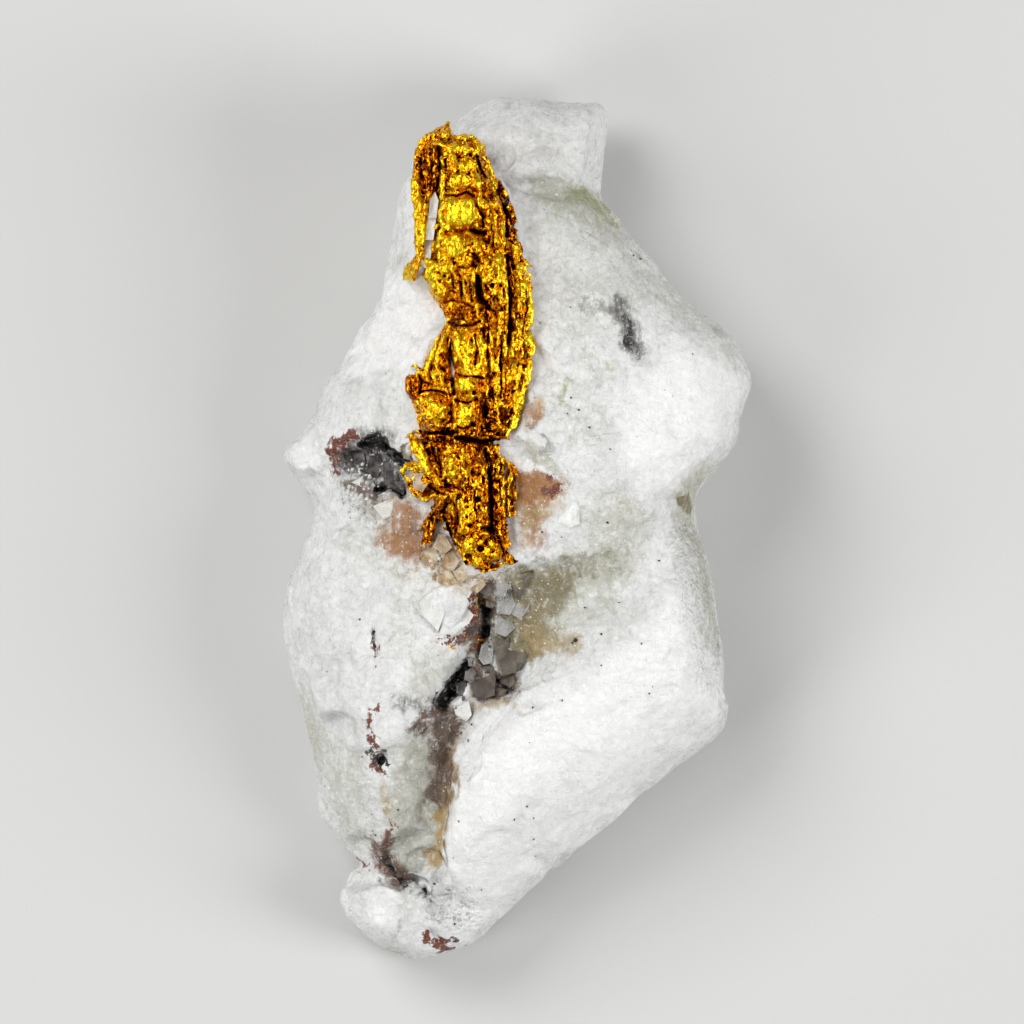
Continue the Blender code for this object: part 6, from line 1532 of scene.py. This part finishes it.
def speckMaterial():
    look = Shader("darkSpeckFinish")
    fine = look.noise(9.0, 3, 0.6)
    look.join(look.ramp(fine, [(0.3, (0.008, 0.006, 0.012)), (0.7, (0.05, 0.035, 0.03))]),
              look.surface.inputs["Base Color"])
    look.join(look.bump(fine, 0.02, 0.5), look.surface.inputs["Normal"])
    look.set(Roughness=0.35)
    return look


# ---- light, floor and camera

studio = {
    "pixel": 0.0461, "lens": 500.0, "plane": 7.0, "middle": (-0.2, 0.74),
    "floor": (0.62, 0.62, 0.61),
}


def addSoftbox(name, place, size, power, colour=(1, 1, 1)):
    bpy.ops.object.light_add(type="AREA", location=[c * mm for c in place])
    lamp = bpy.context.object
    lamp.name = name
    lamp.data.shape = "RECTANGLE"
    lamp.data.size, lamp.data.size_y = size[0] * mm, size[1] * mm
    lamp.data.energy = power
    lamp.data.color = colour
    aim = Vector((0, 0, 6 * mm)) - lamp.location
    lamp.rotation_euler = aim.to_track_quat("-Z", "Y").to_euler()
    return lamp


def setStudio():
    scene = bpy.context.scene
    world = bpy.data.worlds.new("studioRoom")
    scene.world = world
    world.use_nodes = True
    world.node_tree.nodes["Background"].inputs["Color"].default_value = (1.0, 1.0, 1.0, 1)
    world.node_tree.nodes["Background"].inputs["Strength"].default_value = 0.26
    addSoftbox("keyLight", (-170, 150, 260), (180, 180), 0.66)
    addSoftbox("sideLight", (240, -60, 170), (120, 220), 0.56)
    addSoftbox("lowLight", (-230, -120, 190), (120, 200), 0.34)
    bpy.ops.mesh.primitive_plane_add(size=1.6, location=(0, 0, -0.00002))
    floor = bpy.context.object
    floor.name = "studioFloor"
    paper = Shader("floorPaper")
    shade = paper.noise(0.02, 2, 0.5)
    tone = studio["floor"]
    paper.join(paper.blend(shade, tone, tuple(c * 1.03 for c in tone)), paper.surface.inputs["Base Color"])
    paper.set(Roughness=0.9)
    paper.wear(floor)

    height = 1024 * studio["pixel"]
    distance = height / 36.0 * studio["lens"] + studio["plane"]
    bpy.ops.object.camera_add(location=(studio["middle"][0] * mm, studio["middle"][1] * mm, distance * mm),
                              rotation=(0, 0, 0))
    camera = bpy.context.object
    camera.name = "topCamera"
    camera.data.lens = studio["lens"]
    camera.data.sensor_width = 36.0
    camera.data.clip_start, camera.data.clip_end = 0.01, 10.0
    scene.camera = camera
    scene.view_settings.view_transform = "Standard"
    print("studio: ready")


setStudio()
quartz = makeQuartz()
quartzMaterial().wear(quartz)
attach(quartz, "root")
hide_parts("quartz_mass")

goldLook = goldMaterial()
for piece in splitGold(makeGold(quartz)):
    goldLook.wear(piece)
    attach(piece, "root")
    if piece.name == "goldUpper":
        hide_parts("gold_growth")

rockHeight = heightOver(BVHTree.FromObject(quartz, bpy.context.evaluated_depsgraph_get()))
crystalSets = {
    "clearCrystals": (clearCrystals, 51, (0.93, 0.93, 0.91), (0.74, 0.74, 0.70), 0.65, 0.12),
    "milkCrystals": (milkCrystals, 55, (0.90, 0.90, 0.87), (0.76, 0.76, 0.71), 0.12, 0.25),
    "smokyCrystals": (smokyCrystals, 52, (0.24, 0.21, 0.165), (0.11, 0.085, 0.07), 0.25, 0.25),
    "vugCrystals": (vugCrystals, 53, (0.24, 0.22, 0.21), (0.05, 0.042, 0.042), 0.25, 0.20),
    "creamCrystals": (creamCrystals, 54, (0.90, 0.80, 0.62), (0.48, 0.30, 0.12), 0.30, 0.25),
}
for name, (outlines, seed, light, dark, see, rough) in crystalSets.items():
    piece = makeCrystals(name, outlines, rockHeight, seed)
    crystalMaterial(name + "Finish", light, dark, see, rough).wear(piece)
    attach(piece, "root")

specks = makeSpecks(rockHeight)
speckMaterial().wear(specks)
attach(specks, "root")
glints = makeGoldSpecks(rockHeight)
goldLook.wear(glints)
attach(glints, "root")
print("small pieces: done")
